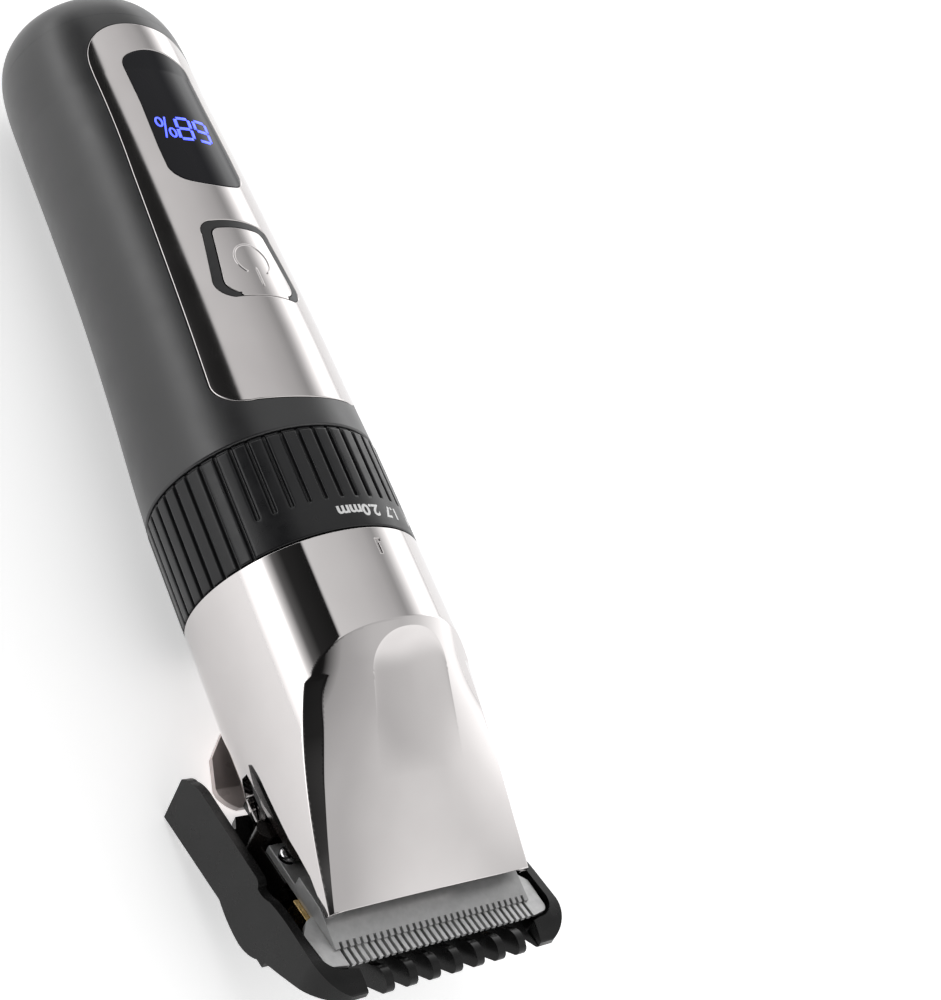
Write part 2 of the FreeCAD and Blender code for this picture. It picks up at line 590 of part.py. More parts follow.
def blade_springs():
    """Two bent strips on the carriage that press the moving blade down."""
    strips = [on_blade(prism_x([(11.0, 2.65), (11.0, 3.0), (17.4, 3.0), (19.0, 2.25), (24.0, 2.25),
                                (24.0, 1.9), (18.8, 1.9), (17.2, 2.65)], x - 1.4, x + 1.4))
              for x in (-12.6, 12.6)]
    return Part.makeCompound(strips)


def frame_outline(grow=0.0):
    g = grow
    return outline((16.3 + g, 9.6 - g), (16.3 + g, 27.0 + g), (12.2 + g, 33.0 + g), (12.2 + g, 36.5 + g),
                   (-12.2 - g, 36.5 + g), (-12.2 - g, 33.0 + g), (-16.3 - g, 27.0 + g),
                   (-16.3 - g, 9.6 - g), (16.3 + g, 9.6 - g))


def blade_frame():
    """Moulded carrier under the fixed blade, with side ears round the screws."""
    body = prism_z(frame_outline(), -7.0, -BLADE_THICK - 0.02)
    slope = prism_x([(9.0, -3.2), (9.0, -8.0), (24.0, -8.0), (24.0, -7.0)], -30, 30)
    ears = [box(x - 1.9, x + 1.9, 16.5, 26.5, -5.5, -BLADE_THICK - 0.02) for x in (-17.0, 17.0)]
    knobs = [post(1.6, x, 25.0, -5.5, 0.9) for x in (-18.0, 18.0)]
    pockets = [box(x - 5.5, x + 5.5, 15.0, 31.0, -9.0, -4.6) for x in (-7.0, 7.0)]
    screw_holes = [post(1.05, x, 20.0, -4.6, 0.0) for x in (-17.0, 17.0)]
    frame = fuse(body.cut([slope] + pockets), *ears, *knobs)
    brass_room = [box(x - 2.6, x + 2.6, 7.0, 13.6, -4.7, 0.0) for x in (-17.0, 17.0)]
    return on_blade(frame.cut(screw_holes + brass_room))


def blade_screws():
    screws = []
    for x in (-17.0, 17.0):
        shank = post(1.0, x, 20.0, -4.5, 0.5)
        head = post(1.5, x, 20.0, 0.3, 1.5)
        ring = post(1.05, x, 20.0, 0.05, 0.35)
        slot = box(x - 0.2, x + 0.2, 18.0, 22.0, 1.2, 2.0)
        screws.append(on_blade(fuse(shank, ring, head).cut(slot)))
    return Part.makeCompound(screws)


def brass_spacers():
    """Brass blocks at the fixed blade's front corners."""
    blocks = [on_blade(box(x - 2.4, x + 2.4, 7.2, 13.4, -4.5, -BLADE_THICK - 0.02))
              for x in (-17.0, 17.0)]
    return Part.makeCompound(blocks)


def clip_outline(x_in, x_out):
    """Plan of one cheek: straight wall with a front corner that curves in towards the fins."""
    return outline((x_in, 39.0), (x_in, 2.6), ((x_in - 1.2, 0.2), (x_in - 3.8, -0.7)),
                   (x_in - 5.4, -1.0), (x_in - 5.7, -4.2), (x_out - 4.4, -4.2),
                   ((x_out - 1.25, -1.9), (x_out, 2.0)), (x_out, 39.0), (x_in, 39.0))


def comb_cheek():
    side_view = outline((39.3, -9.3), (39.75, -3.6), ((39.1, -1.5), (37.2, -0.3)),
                        ((35.2, 0.45), (33.0, 0.6)), (17.4, 0.6), ((16.5, 0.3), (16.0, -0.5)),
                        ((14.6, -0.5), (13.0, 0.1)), ((10.0, 0.5), (7.0, 0.6)), (1.5, 0.6),
                        ((-1.4, 0.1), (-3.7, -0.9)), ((-4.3, -1.6), (-3.8, -2.5)),
                        ((0.8, -4.4), (5.2, -6.3)), (9.4, -8.0), ((11.6, -9.6), (14.5, -10.3)),
                        ((18.2, -9.8), (21.5, -8.7)), (39.3, -9.3))
    profile = sweep_x(side_view, 8.0, 30.0)
    wall = prism_z(clip_outline(COMB_HALF - COMB_WALL, COMB_HALF), -12, 2)
    low_fill = prism_z(outline((COMB_HALF - 0.8, 9.0), (COMB_HALF - 0.8, 0.0),
                               ((COMB_HALF - 2.0, -2.6), (COMB_HALF - 4.8, -4.1)),
                               (COMB_HALF - 7.3, -4.1), (COMB_HALF - 7.3, 9.0),
                               (COMB_HALF - 0.8, 9.0)), -12.0, -2.0)
    spacer_room = box(8.0, 22.0, 6.4, 12.0, -5.2, 0.0)
    return fuse(wall.common(profile), low_fill.common(profile).cut(spacer_room))


def comb_fin(x):
    half = 0.75
    side_view = outline((12.0, -7.9), (9.5, -3.4), (7.0, -1.75), (0.4, -1.6),
                        ((-0.2, -1.25), (-0.7, -0.75)), ((-2.4, -0.25), (-3.9, -0.9)),
                        ((-4.5, -1.75), (-3.9, -2.8)), ((0.0, -5.35), (4.0, -7.8)),
                        ((6.2, -8.85), (8.5, -9.35)), (12.0, -9.3), (12.0, -7.9))
    return sweep_x(side_view, x - half, x + half)


def guard_comb():
    plate = prism_z(outline((COMB_HALF - 0.4, 9.0), (COMB_HALF - 0.4, 33.0), (15.2, 33.0), (14.0, 35.3),
                            (-14.0, 35.3), (-15.2, 33.0), (0.4 - COMB_HALF, 33.0),
                            (0.4 - COMB_HALF, 9.0), (COMB_HALF - 0.4, 9.0)), -9.2, -7.7)
    cheek = comb_cheek()
    fins = [comb_fin(FIN_PITCH * i) for i in range(-(FIN_COUNT // 2), FIN_COUNT // 2 + 1)]
    rails = []
    for y in (19.0, 22.5, 26.0):
        for x0, x1 in ((-15.0, -4.5), (4.5, 15.0)):
            rails.append(box(x0, x1, y, y + 0.6, -9.5, -9.1))
    comb = fuse(plate, cheek, mirrored(cheek), *fins, *rails)
    slots = [box(x - 0.6, x + 0.6, 12.3, 16.5, -11, -7) for x in
             (FIN_PITCH * i for i in range(-(FIN_COUNT // 2), FIN_COUNT // 2 + 1))]
    return on_blade(comb.cut(slots))


# ---- the set of pieces ------------------------------------------------------------------------
MAKERS = [barrel_housing, front_panel, display_lens, button_gasket, power_button, port_trim, seal_ring,
          length_ring, cam_sleeve, detent_ball, head_shell, heel_plate, head_liner, inner_chassis,
          damper_ring, motor_can, motor_bearing, motor_rotor, motor_magnets, motor_screws,
          eccentric_cam, battery_cell, battery_tabs, control_board, board_screws, tact_switch,
          display_module, digit_segments, charge_socket, socket_board, motor_leads, fixed_blade,
          moving_blade, drive_yoke, blade_carriage, blade_springs, blade_frame, blade_screws,
          brass_spacers, guard_comb]


def lay_down(shapes):
    """Turn every piece as it rests on a table and put the origin under the middle of the whole."""
    whole = FreeCAD.BoundBox()
    for shape in shapes.values():
        shape.rotate(V(0, 0, 0), V(1, 0, 0), -REST_TILT)
        whole.add(shape.optimalBoundingBox(False, False))
    shift = V(0, -whole.Center.y, -whole.ZMin)
    for shape in shapes.values():
        shape.translate(shift)
    return shift


def build():
    shapes = {maker.__name__: maker() for maker in MAKERS}
    shift = lay_down(shapes)
    return shapes, shift


def main():
    os.makedirs("parts", exist_ok=True)
    shapes, shift = build()
    for name, shape in shapes.items():
        shape.exportStep("parts/" + name + ".step")
        print(name, "valid", shape.isValid(), "solids", len(shape.Solids), "volume", round(shape.Volume, 1))
    print("ring axis at y, z:", round(shift.y, 3), round(shift.z, 3))


main()
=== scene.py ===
"""Looks of a cordless pet clipper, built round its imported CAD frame.

Shapes are drawn in millimetres in the clipper's own frame: the barrel's axis is Y, the blade points to
-Y, the front panel faces +Z, and y = 0 is where the length ring meets the plated head.  The blade set is
drawn in blade coordinates (x, s, h).  CLIPPER and BLADE carry both to the shared frame, in metres.
"""
import bpy
import bmesh
import json
import math
import numpy as np
from mathutils import Matrix, Vector
from mathutils.geometry import delaunay_2d_cdt


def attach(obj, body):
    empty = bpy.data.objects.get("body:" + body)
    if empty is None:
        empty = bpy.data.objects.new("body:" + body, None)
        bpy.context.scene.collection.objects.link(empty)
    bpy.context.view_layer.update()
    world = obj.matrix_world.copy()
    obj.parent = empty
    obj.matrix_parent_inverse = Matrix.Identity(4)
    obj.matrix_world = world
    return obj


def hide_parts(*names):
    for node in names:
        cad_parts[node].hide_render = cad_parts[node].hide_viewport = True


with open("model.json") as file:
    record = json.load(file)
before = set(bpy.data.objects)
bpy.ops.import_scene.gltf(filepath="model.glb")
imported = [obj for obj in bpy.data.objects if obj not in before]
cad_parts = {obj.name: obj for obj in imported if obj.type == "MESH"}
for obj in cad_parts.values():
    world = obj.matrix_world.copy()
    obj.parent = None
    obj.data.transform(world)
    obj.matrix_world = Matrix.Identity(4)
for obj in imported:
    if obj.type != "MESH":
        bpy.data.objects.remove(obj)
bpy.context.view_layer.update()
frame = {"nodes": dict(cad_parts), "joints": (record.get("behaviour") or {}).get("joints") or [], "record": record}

# ---- frame and driving sizes, millimetres ----------------
RING_JOINT = next(j for j in frame["joints"] if j["name"] == "ring_turn")
BACK = -Vector(RING_JOINT["axis"])  # towards the tail
RIGHT = Vector((1, 0, 0))
UP = RIGHT.cross(BACK)
CLIPPER = (Matrix.Translation(RING_JOINT["pos_m"])
           @ Matrix((RIGHT, BACK, UP)).transposed().to_4x4() @ Matrix.Scale(0.001, 4))
BLADE_TILT = math.radians(19.0)
BLADE = CLIPPER @ Matrix.Translation((0, -59.2, 0.3)) @ Matrix.Rotation(-BLADE_TILT, 4, "X")

BODY_R = 20.0
RING_LEN = 19.2
BAND_LEN = 5.7  # smooth band for the numbers, at the blade end
BAND_FROM, BAND_TO = -50.0, 110.0  # degrees from the top
RIB_COUNT = 45
DOME_Y, DOME_LEN, DOME_POWER, DOME_R, DOME_Z = 98.0, 23.68, 4.65, 17.54, 0.35
SKIN_R = 18.5  # radius that turns an angle into a width
HEAD_LEN = 52.4
ARCH_Y = -16.0  # where the front face leaves the cylinder
FRONT_SLOPE = 0.475
CHAMFER_TOP = -19.6  # top edge of the chamfer where it meets the face
CHAMFER_CORNER = math.radians(43.0)
CHAMFER_RISE = 0.6
SCOOP_DEPTH, SCOOP_Y, SCOOP_RISE, SCOOP_POWER = 0.9, -23.5, 6.2, 2.4
HEAD_WALL = 1.35
CREASE_R = 0.05  # rounding of the head's creases
MARKER_DEPTH = 0.24
SEAM = 0.05
INSET = 0.01  # the shown skin lies this far inside the CAD's
PANEL_PROUD, KEY_PROUD, LENS_PROUD = 0.08, 0.06, 0.05

BARREL_R = [(19.5, 19.9), (30.0, 19.5), (41.0, 19.05), (59.0, 18.4), (82.0, 17.85), (98.0, 17.55)]
BARREL_Z = [(19.5, 0.0), (30.0, 0.3), (41.0, 0.77), (59.0, 1.1), (82.0, 0.84), (98.0, 0.35)]


# ---- curves ----------------
def curve(table, at):
    """Smooth curve through a table of (place, value), read at one place or at an array of places."""
    xs, ys = (np.array(column, float) for column in zip(*sorted(table)))
    slopes = np.gradient(ys, xs)
    at = np.clip(at, xs[0], xs[-1])
    i = np.clip(np.searchsorted(xs, at, side="right") - 1, 0, len(xs) - 2)
    width = xs[i + 1] - xs[i]
    t = (at - xs[i]) / width
    return ((2 * t**3 - 3 * t**2 + 1) * ys[i] + (t**3 - 2 * t**2 + t) * width * slopes[i]
            + (3 * t**2 - 2 * t**3) * ys[i + 1] + (t**3 - t**2) * width * slopes[i + 1])


def ramp(low, high, at):
    """0 below low, 1 above high, smooth between."""
    t = np.clip((at - low) / (high - low), 0, 1)
    return t * t * (3 - 2 * t)


def soft_min(a, b, radius):
    """The smaller of two lengths, with the corner between them rounded."""
    blend = np.clip(0.5 + 0.5 * (b - a) / radius, 0, 1)
    return b + (a - b) * blend - radius * blend * (1 - blend)


def arc(here, via, there, step):
    """Points on the arc from here through via to there, without the first."""
    (ax, ay), (bx, by), (cx, cy) = here, via, there
    d = 2 * (ax * (by - cy) + bx * (cy - ay) + cx * (ay - by))
    ux = ((ax**2 + ay**2) * (by - cy) + (bx**2 + by**2) * (cy - ay) + (cx**2 + cy**2) * (ay - by)) / d
    uy = ((ax**2 + ay**2) * (cx - bx) + (bx**2 + by**2) * (ax - cx) + (cx**2 + cy**2) * (bx - ax)) / d
    radius = math.hypot(ax - ux, ay - uy)
    start, middle, end = (math.atan2(p[1] - uy, p[0] - ux) for p in (here, via, there))
    full = 2 * math.pi
    sweep = (end - start) % full
    if (middle - start) % full > sweep:
        sweep -= full
    count = max(4, int(abs(sweep) * radius / step))
    return [(ux + radius * math.cos(start + sweep * i / count),
             uy + radius * math.sin(start + sweep * i / count)) for i in range(1, count + 1)]


def line(here, there, step):
    count = max(1, int(math.dist(here, there) / step))
    return [(here[0] + (there[0] - here[0]) * i / count, here[1] + (there[1] - here[1]) * i / count)
            for i in range(1, count + 1)]


def outline(*steps, step=0.45):
    """Closed loop of points. A step is a point (line to it) or a pair of points (arc to it)."""
    points, here = [steps[0]], steps[0]
    for target in steps[1:]:
        if isinstance(target[0], tuple):
            points += arc(here, target[0], target[1], step)
            here = target[1]
        else:
            points += line(here, target, step)
            here = target
    if math.dist(points[0], points[-1]) < 1e-6:
        points.pop()
    loop = np.array(points)
    return loop if area(loop) > 0 else loop[::-1]


def area(loop):
    after = np.roll(loop, -1, axis=0)
    return 0.5 * np.sum(loop[:, 0] * after[:, 1] - after[:, 0] * loop[:, 1])


def inset(loop, amount):
    """Loop moved to its left by amount: inwards on a loop that runs anticlockwise."""
    before, after = loop - np.roll(loop, 1, axis=0), np.roll(loop, -1, axis=0) - loop
    before /= np.linalg.norm(before, axis=1)[:, None]
    after /= np.linalg.norm(after, axis=1)[:, None]
    n1, n2 = columns(-before[:, 1], before[:, 0]), columns(-after[:, 1], after[:, 0])
    middle = n1 + n2
    middle /= np.maximum(np.linalg.norm(middle, axis=1)[:, None], 1e-9)
    stretch = np.clip(1 / np.maximum(np.sum(middle * n1, axis=1), 0.5), 1, 1.6)
    return loop + middle * (amount * stretch)[:, None]


def inside(points, loop):
    """Which points lie in a closed loop."""
    hit = np.zeros(len(points), bool)
    x, y = points[:, 0], points[:, 1]
    for (x0, y0), (x1, y1) in zip(loop, np.roll(loop, -1, axis=0)):
        crosses = (y0 > y) != (y1 > y)
        if crosses.any():
            at = x0 + (y[crosses] - y0) * (x1 - x0) / (y1 - y0)
            hit[crosses] ^= x[crosses] < at
    return hit


def within(points, outer, holes):
    """Which points lie in a loop and in none of its holes."""
    keep = inside(points, outer)
    for hole in holes:
        keep &= ~inside(points, hole)
    return keep


def distance(points, loop, closed=True):
    """Distance of each point from a closed loop or an open line."""
    best = np.full(len(points), 1e9)
    count = len(loop) if closed else len(loop) - 1
    for a, b in list(zip(loop, np.roll(loop, -1, axis=0)))[:count]:
        span = b - a
        t = np.clip(((points - a) @ span) / max(span @ span, 1e-12), 0, 1)
        gap = points - a - t[:, None] * span
        best = np.minimum(best, np.einsum("ij,ij->i", gap, gap))
    return np.sqrt(best)


def columns(*parts):
    """Points from their coordinates, each an array or one number."""
    return np.stack(np.broadcast_arrays(*parts), -1)


# ---- mesh makers ----------------
def new_object(name, mesh):
    made = bpy.data.objects.new(name, mesh)
    bpy.context.scene.collection.objects.link(made)
    return made


def mesh_object(name, points, faces, normals=None, matrix=CLIPPER):
    """Object from points in millimetres. normals: one per point, zero where Blender works it out."""
    points = np.asarray(points, float)
    flat = np.array(matrix)
    mesh = bpy.data.meshes.new(name)
    mesh.from_pydata((points @ flat[:3, :3].T + flat[:3, 3]).tolist(), [], [list(f) for f in faces])
    mesh.validate()
    mesh.update()
    mesh.shade_smooth()
    if normals is not None:
        turned = np.asarray(normals) @ (flat[:3, :3].T * 1000.0)
        mesh.normals_split_custom_set_from_vertices(turned.tolist())
    return new_object(name, mesh)


def surface_normals(surface, u, v):
    """Outward normals of a surface (u, v) -> point, from small steps."""
    h = 0.02
    along_u = surface(u + h, v) - surface(u - h, v)
    along_v = surface(u, v + h) - surface(u, v - h)
    normal = np.cross(along_u, along_v)
    return normal / np.maximum(np.linalg.norm(normal, axis=1)[:, None], 1e-12)


def lattice(low, high, step):
    across = np.arange(low[0] + step / 2, high[0], step)
    up = np.arange(low[1] + step / 2, high[1], step)
    return np.stack(np.meshgrid(across, up), -1).reshape(-1, 2)


def filler(outer, holes, loops, walls, lines, spacing, edge, fine):
    """Loose points that fill a patch, clear of its loops and of its crease lines."""
    clear, clear_of_line = 0.45, 0.6
    grid = lattice(outer.min(0), outer.max(0), spacing)
    room = np.full(len(grid), clear * spacing)
    if fine:
        test, close_spacing = fine
        close = lattice(outer.min(0), outer.max(0), close_spacing)
        close, grid = close[test(close)], grid[~test(grid)]
        room = np.repeat([clear * spacing, clear * close_spacing], [len(grid), len(close)])
        grid = np.concatenate([grid, close])
    keep = within(grid, outer, holes)
    grid, room = grid[keep], room[keep]
    for loop, has_wall in zip(loops, walls):
        keep = distance(grid, loop) > (edge if has_wall else 0.0) + room
        grid, room = grid[keep], room[keep]
    for string in lines:
        keep = distance(grid, string, closed=False) > clear_of_line * room
        grid, room = grid[keep], room[keep]
    return grid


def patch(outer, holes, surface, spacing=0.8, edge=0.15, wall=1.0, walls=None, fine=None, lines=()):
    """Skin piece over an outline, with rounded edges and walls that run down into the body.

    outer and holes are loops in the surface's (u, v).  walls says which loops (outer, then holes) are
    rounded and get a wall.  fine is an optional (test, spacing) for a region that needs closer points.
    lines are open lines that the mesh's edges follow.  Returns points, faces, normals.
    """
    loops = [outer] + [hole[::-1] for hole in holes]
    walls = walls or [True] * len(loops)
    turns = [math.radians(a) for a in (0, 25, 50, 70, 90)]
    flat, depth, chains, known, first_chain = [], [], [], [], []
    for loop, has_wall in zip(loops, walls):
        outwards = surface(*inset(loop, -0.01).T) - surface(*loop.T)
        outwards /= np.linalg.norm(outwards, axis=1)[:, None]
        first_chain.append((len(flat), outwards))
        for turn in (turns if has_wall else [math.radians(90)]):
            moved = inset(loop, edge * (1 - math.cos(turn))) if has_wall else loop
            chains.append((len(flat), len(moved)))
            flat += moved.tolist()
            depth += [edge * (1 - math.sin(turn)) if has_wall else 0.0] * len(moved)
            up = surface_normals(surface, *moved.T)
            known += (up * math.sin(turn) + outwards * math.cos(turn)).tolist()
    strings = []
    for string in lines:
        strings.append((len(flat), len(string)))
        flat += string.tolist()
        depth += [0.0] * len(string)
    grid = filler(outer, holes, loops, walls, lines, spacing, edge, fine)
    flat += grid.tolist()
    depth += [0.0] * len(grid)
    flat, depth = np.array(flat), np.array(depth)
    constraints = [(start + i, start + (i + 1) % count) for start, count in chains for i in range(count)]
    constraints += [(start + i, start + i + 1) for start, count in strings for i in range(count - 1)]
    out = delaunay_2d_cdt([Vector(p) for p in flat], constraints, [], 0, 1e-6, True)
    where = np.array([tuple(p) for p in out[0]])
    source = np.array([ids[0] if ids else -1 for ids in out[3]])
    down = np.where(source >= 0, depth[source], 0.0)
    faces = np.array([f for f in out[2] if len(f) == 3])
    faces = faces[within(where[faces].mean(axis=1), outer, holes)]
    normals = surface_normals(surface, *where.T)
    points = surface(*where.T) - normals * down[:, None]
    rim = (source >= 0) & (source < len(known))
    normals[rim] = np.array(known)[source[rim]]
    faces = [tuple(f) for f in faces]
    place = {ids[0]: i for i, ids in reversed(list(enumerate(out[3]))) if ids}
    points, normals = points.tolist(), normals.tolist()
    for (start, outwards), loop, has_wall in zip(first_chain, loops, walls):
        if not has_wall:
            continue
        count = len(loop)
        ring = [place.get(start + i, start + i) for i in range(count)]
        lower = surface(*loop.T) - surface_normals(surface, *loop.T) * wall
        first = len(points)
        points += lower.tolist()
        normals += outwards.tolist()
        faces += [(ring[i], first + i, first + (i + 1) % count, ring[(i + 1) % count])
                  for i in range(count)]
    return np.array(points), facing(np.array(points), faces, np.array(normals)), np.array(normals)


def facing(points, faces, normals):
    """The faces, each turned to look the way its corners' normals do."""
    turned = []
    for face in faces:
        a, b, c = points[face[0]], points[face[1]], points[face[-1]]
        along = np.cross(b - a, c - a) @ normals[list(face)].sum(0)
        turned.append(face if along >= 0 else tuple(face[::-1]))
    return turned


def join(*parts):
    """Joins (points, faces, normals) groups and welds points that meet."""
    points, faces, normals, start = [], [], [], 0
    for p, f, n in parts:
        points.append(p)
        normals.append(n)
        faces += [tuple(i + start for i in face) for face in f]
        start += len(p)
    points, normals = np.concatenate(points), np.concatenate(normals)
    _, first, index = np.unique(np.round(points / 0.002), axis=0, return_index=True, return_inverse=True)
    index = index.ravel()
    welded = [tuple(dict.fromkeys(index[i] for i in face)) for face in faces]
    return points[first], [f for f in welded if len(f) > 2], normals[first]


def grid_faces(rows, count, closed):
    """Faces between rows of count points each."""
    across = count if closed else count - 1
    return [(r * count + c, r * count + (c + 1) % count, (r + 1) * count + (c + 1) % count,
             (r + 1) * count + c) for r in range(rows - 1) for c in range(across)]


def around(radius, angle, y, middle=0.0):
    """Points round the clipper's axis, at an angle from +Z."""
    return columns(radius * np.sin(angle), y, middle + radius * np.cos(angle))


def clean_copy(node):
    """A copy of a CAD node's mesh with its flat faces whole again."""
    mesh = frame["nodes"][node].data.copy()
    mesh.materials.clear()
    work = bmesh.new()
    work.from_mesh(mesh)
    bmesh.ops.remove_doubles(work, verts=work.verts, dist=2e-6)
    bmesh.ops.dissolve_limit(work, angle_limit=math.radians(1.0), verts=work.verts, edges=work.edges)
    bmesh.ops.recalc_face_normals(work, faces=work.faces)
    work.to_mesh(mesh)
    work.free()
    for layer in ("custom_normal", "sharp_edge", "sharp_face"):
        found = mesh.attributes.get(layer)
        if found:
            mesh.attributes.remove(found)
    return mesh


def rounded(node, name, width, segments=2, angle=25):
    """The CAD node again, with every edge rounded to width millimetres."""
    made = new_object(name, clean_copy(node))
    bevel = made.modifiers.new("edges", "BEVEL")
    bevel.width = width / 1000
    bevel.segments = segments
    bevel.limit_method = "ANGLE"
    bevel.angle_limit = math.radians(angle)
    bevel.use_clamp_overlap = True
    bevel.harden_normals = True
    made.data.shade_smooth()
    return made


def finish_piece(piece, body, slot, nodes=(), finish=None):
    """Body, slot, replaced nodes and material of one visible piece. finish defaults to the slot's."""
    piece.data.materials.clear()
    piece.data.materials.append(MATERIALS[finish or slot])
    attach(piece, body)
    if nodes:
        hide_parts(*nodes)
    return piece


# ---- materials ----------------
def filled(node, **values):
    """A node with its named inputs set. An underscore in a name stands for a space."""
    for socket, value in values.items():
        node.inputs[socket.replace("_", " ")].default_value = value
    return node


class Shader:
    """Small helper that builds a node material."""

    def __init__(self, name, metallic=0.0, **fixed):
        self.material = bpy.data.materials.new(name)
        self.material.use_nodes = True
        self.nodes = self.material.node_tree.nodes
        self.links = self.material.node_tree.links
        self.surface = filled(self.nodes["Principled BSDF"], Metallic=metallic, **fixed)
        self.coordinates = self.nodes.new("ShaderNodeTexCoord").outputs["Object"]
        self.normal = None

    def noise(self, size_mm, detail=3.0, stretch=(1, 1, 1)):
        """Noise with features of about size_mm."""
        mapping = filled(self.nodes.new("ShaderNodeMapping"), Scale=stretch)
        self.links.new(self.coordinates, mapping.inputs["Vector"])
        node = filled(self.nodes.new("ShaderNodeTexNoise"), Scale=1000.0 / size_mm, Detail=detail)
        self.links.new(mapping.outputs["Vector"], node.inputs["Vector"])
        return node.outputs["Fac"]

    def spread(self, value, low, high):
        """Value's middle range carried to low ... high."""
        node = self.nodes.new("ShaderNodeMapRange")
        filled(node, From_Min=0.3, From_Max=0.7, To_Min=low, To_Max=high)
        self.links.new(value, node.inputs["Value"])
        return node.outputs["Result"]

    def colour(self, value, dark, light):
        node = self.nodes.new("ShaderNodeMix")
        node.data_type = "RGBA"
        filled(node, A=(*dark, 1), B=(*light, 1))
        self.links.new(self.spread(value, 0.0, 1.0), node.inputs["Factor"])
        self.links.new(node.outputs["Result"], self.surface.inputs["Base Color"])

    def roughness(self, value, low, high):
        self.links.new(self.spread(value, low, high), self.surface.inputs["Roughness"])

    def bump(self, value, height_mm, strength=1.0):
        node = filled(self.nodes.new("ShaderNodeBump"), Strength=strength, Distance=height_mm / 1000)
        self.links.new(value, node.inputs["Height"])
        if self.normal:
            self.links.new(self.normal, node.inputs["Normal"])
        self.normal = node.outputs["Normal"]
        self.links.new(self.normal, self.surface.inputs["Normal"])


def soft_touch():
    """Rubber-like black paint: a fine even grain and faint handling marks."""
    s = Shader("soft_touch", Specular_IOR_Level=0.75)
    s.colour(s.noise(9, 4), (0.010, 0.010, 0.011), (0.014, 0.014, 0.015))
    s.roughness(s.noise(5, 5), 0.31, 0.37)
    s.bump(s.noise(0.35, 2), 0.004, 0.5)
    return s.material


def plating(name, dark, light, smooth):
    """Mirror plating over moulded plastic: faint waves, and a little haze where hands touch it."""
    s = Shader(name, metallic=1.0)
    s.colour(s.noise(14, 3), dark, light)
    s.roughness(s.noise(6, 5), smooth, smooth + 0.035)
    s.bump(s.noise(11, 1), 0.012, 0.25)
    return s.material


def moulded(name, dark, light, rough, grain_mm=0.25, height_mm=0.01, shine=0.5):
    """Moulded plastic with an etched grain."""
    s = Shader(name, Specular_IOR_Level=shine)
    s.colour(s.noise(4, 4), dark, light)
    s.roughness(s.noise(2.5, 4), rough - 0.04, rough + 0.06)
    s.bump(s.noise(grain_mm, 2), height_mm, 0.6)
    return s.material


def gloss(name, colour):
    """Gloss black window with faint wipe marks."""
    s = Shader(name, Specular_IOR_Level=0.16)
    s.colour(s.noise(20, 2), colour, tuple(c * 1.4 for c in colour))
    s.roughness(s.noise(7, 5), 0.03, 0.09)
    s.bump(s.noise(12, 1), 0.004, 0.3)
    return s.material


def blasted(name, dark, light, rough, metallic=1.0):
    """Ground and sand-blasted steel: fine grain over long, faint grinding lines."""
    s = Shader(name, metallic=metallic)
    s.colour(s.noise(1.2, 5), dark, light)
    s.roughness(s.noise(0.8, 4), rough - 0.05, rough + 0.07)
    s.bump(s.noise(0.12, 2), 0.006, 0.6)
    s.bump(s.noise(2.0, 3, stretch=(0.06, 1, 1)), 0.004, 0.4)
    return s.material


def lit(name, colour, strength):
    """Lit display segment, a little brighter at its middle."""
    s = Shader(name, Emission_Color=(*colour, 1), Emission_Strength=strength)
    s.colour(s.noise(0.8, 2), tuple(c * 0.8 for c in colour), colour)
    s.roughness(s.noise(1.0, 2), 0.25, 0.35)
    return s.material


def printed(name, colour):
    """Pad-printed ink."""
    s = Shader(name)
    s.colour(s.noise(0.5, 3), tuple(c * 0.9 for c in colour), colour)
    s.roughness(s.noise(0.4, 3), 0.45, 0.6)
    return s.material


MATERIALS = {
    "soft_touch": soft_touch(),
    "lens": gloss("lens", (0.006, 0.006, 0.008)),
    "led": lit("led", (0.06, 0.09, 1.0), 2.6),
    "ink_white": printed("ink_white", (0.85, 0.85, 0.85)),
}
# each row: name, dark and light colour, roughness, then what the maker adds
FINISHES = {
    plating: [("trim_metal", (0.55, 0.525, 0.52), (0.59, 0.565, 0.56), 0.085),
              ("head_chrome", (0.60, 0.575, 0.57), (0.64, 0.615, 0.61), 0.025)],
    # heel tongue: its chrome is drawn as a light pinkish diffuse colour, a painted reflection of the bright studio
    # side
    moulded: [("heel_satin", (0.62, 0.54, 0.52), (0.70, 0.61, 0.59), 0.30, 0.3, 0.004, 0.8),
              ("seal_black", (0.008, 0.008, 0.009), (0.013, 0.013, 0.014), 0.45, 0.3, 0.006),
              ("ring_black", (0.008, 0.008, 0.009), (0.012, 0.012, 0.013), 0.30, 0.3, 0.006, 0.36),
              ("cam_nylon", (0.62, 0.61, 0.57), (0.70, 0.69, 0.65), 0.45),
              ("frame_black", (0.008, 0.007, 0.006), (0.014, 0.011, 0.010), 0.25, 0.5, 0.006),
              ("comb_black", (0.004, 0.004, 0.004), (0.007, 0.007, 0.007), 0.24, 0.35, 0.006, 0.24),
              ("chassis_grey", (0.10, 0.10, 0.11), (0.14, 0.14, 0.15), 0.5),
              ("magnet", (0.06, 0.06, 0.06), (0.10, 0.10, 0.10), 0.4),
              ("cell_wrap", (0.06, 0.20, 0.34), (0.09, 0.26, 0.42), 0.3, 2.0, 0.02),
              ("circuit", (0.01, 0.13, 0.06), (0.02, 0.18, 0.08), 0.3, 0.6, 0.02),
              ("wire", (0.40, 0.03, 0.02), (0.50, 0.05, 0.03), 0.4),
              # seat under the panel: seal black made darker, painted shade of the narrow seam it is seen through
              ("recess_black", (0.004, 0.004, 0.004), (0.008, 0.008, 0.008), 0.6)],
    blasted: [("steel", (0.55, 0.55, 0.56), (0.68, 0.68, 0.69), 0.16),
              ("blade_steel", (0.46, 0.46, 0.46), (0.56, 0.56, 0.56), 0.42, 0.6),
              ("blade_dark", (0.36, 0.36, 0.36), (0.42, 0.42, 0.42), 0.40, 0.45),
              ("brass", (0.55, 0.38, 0.16), (0.72, 0.52, 0.24), 0.25)],
}
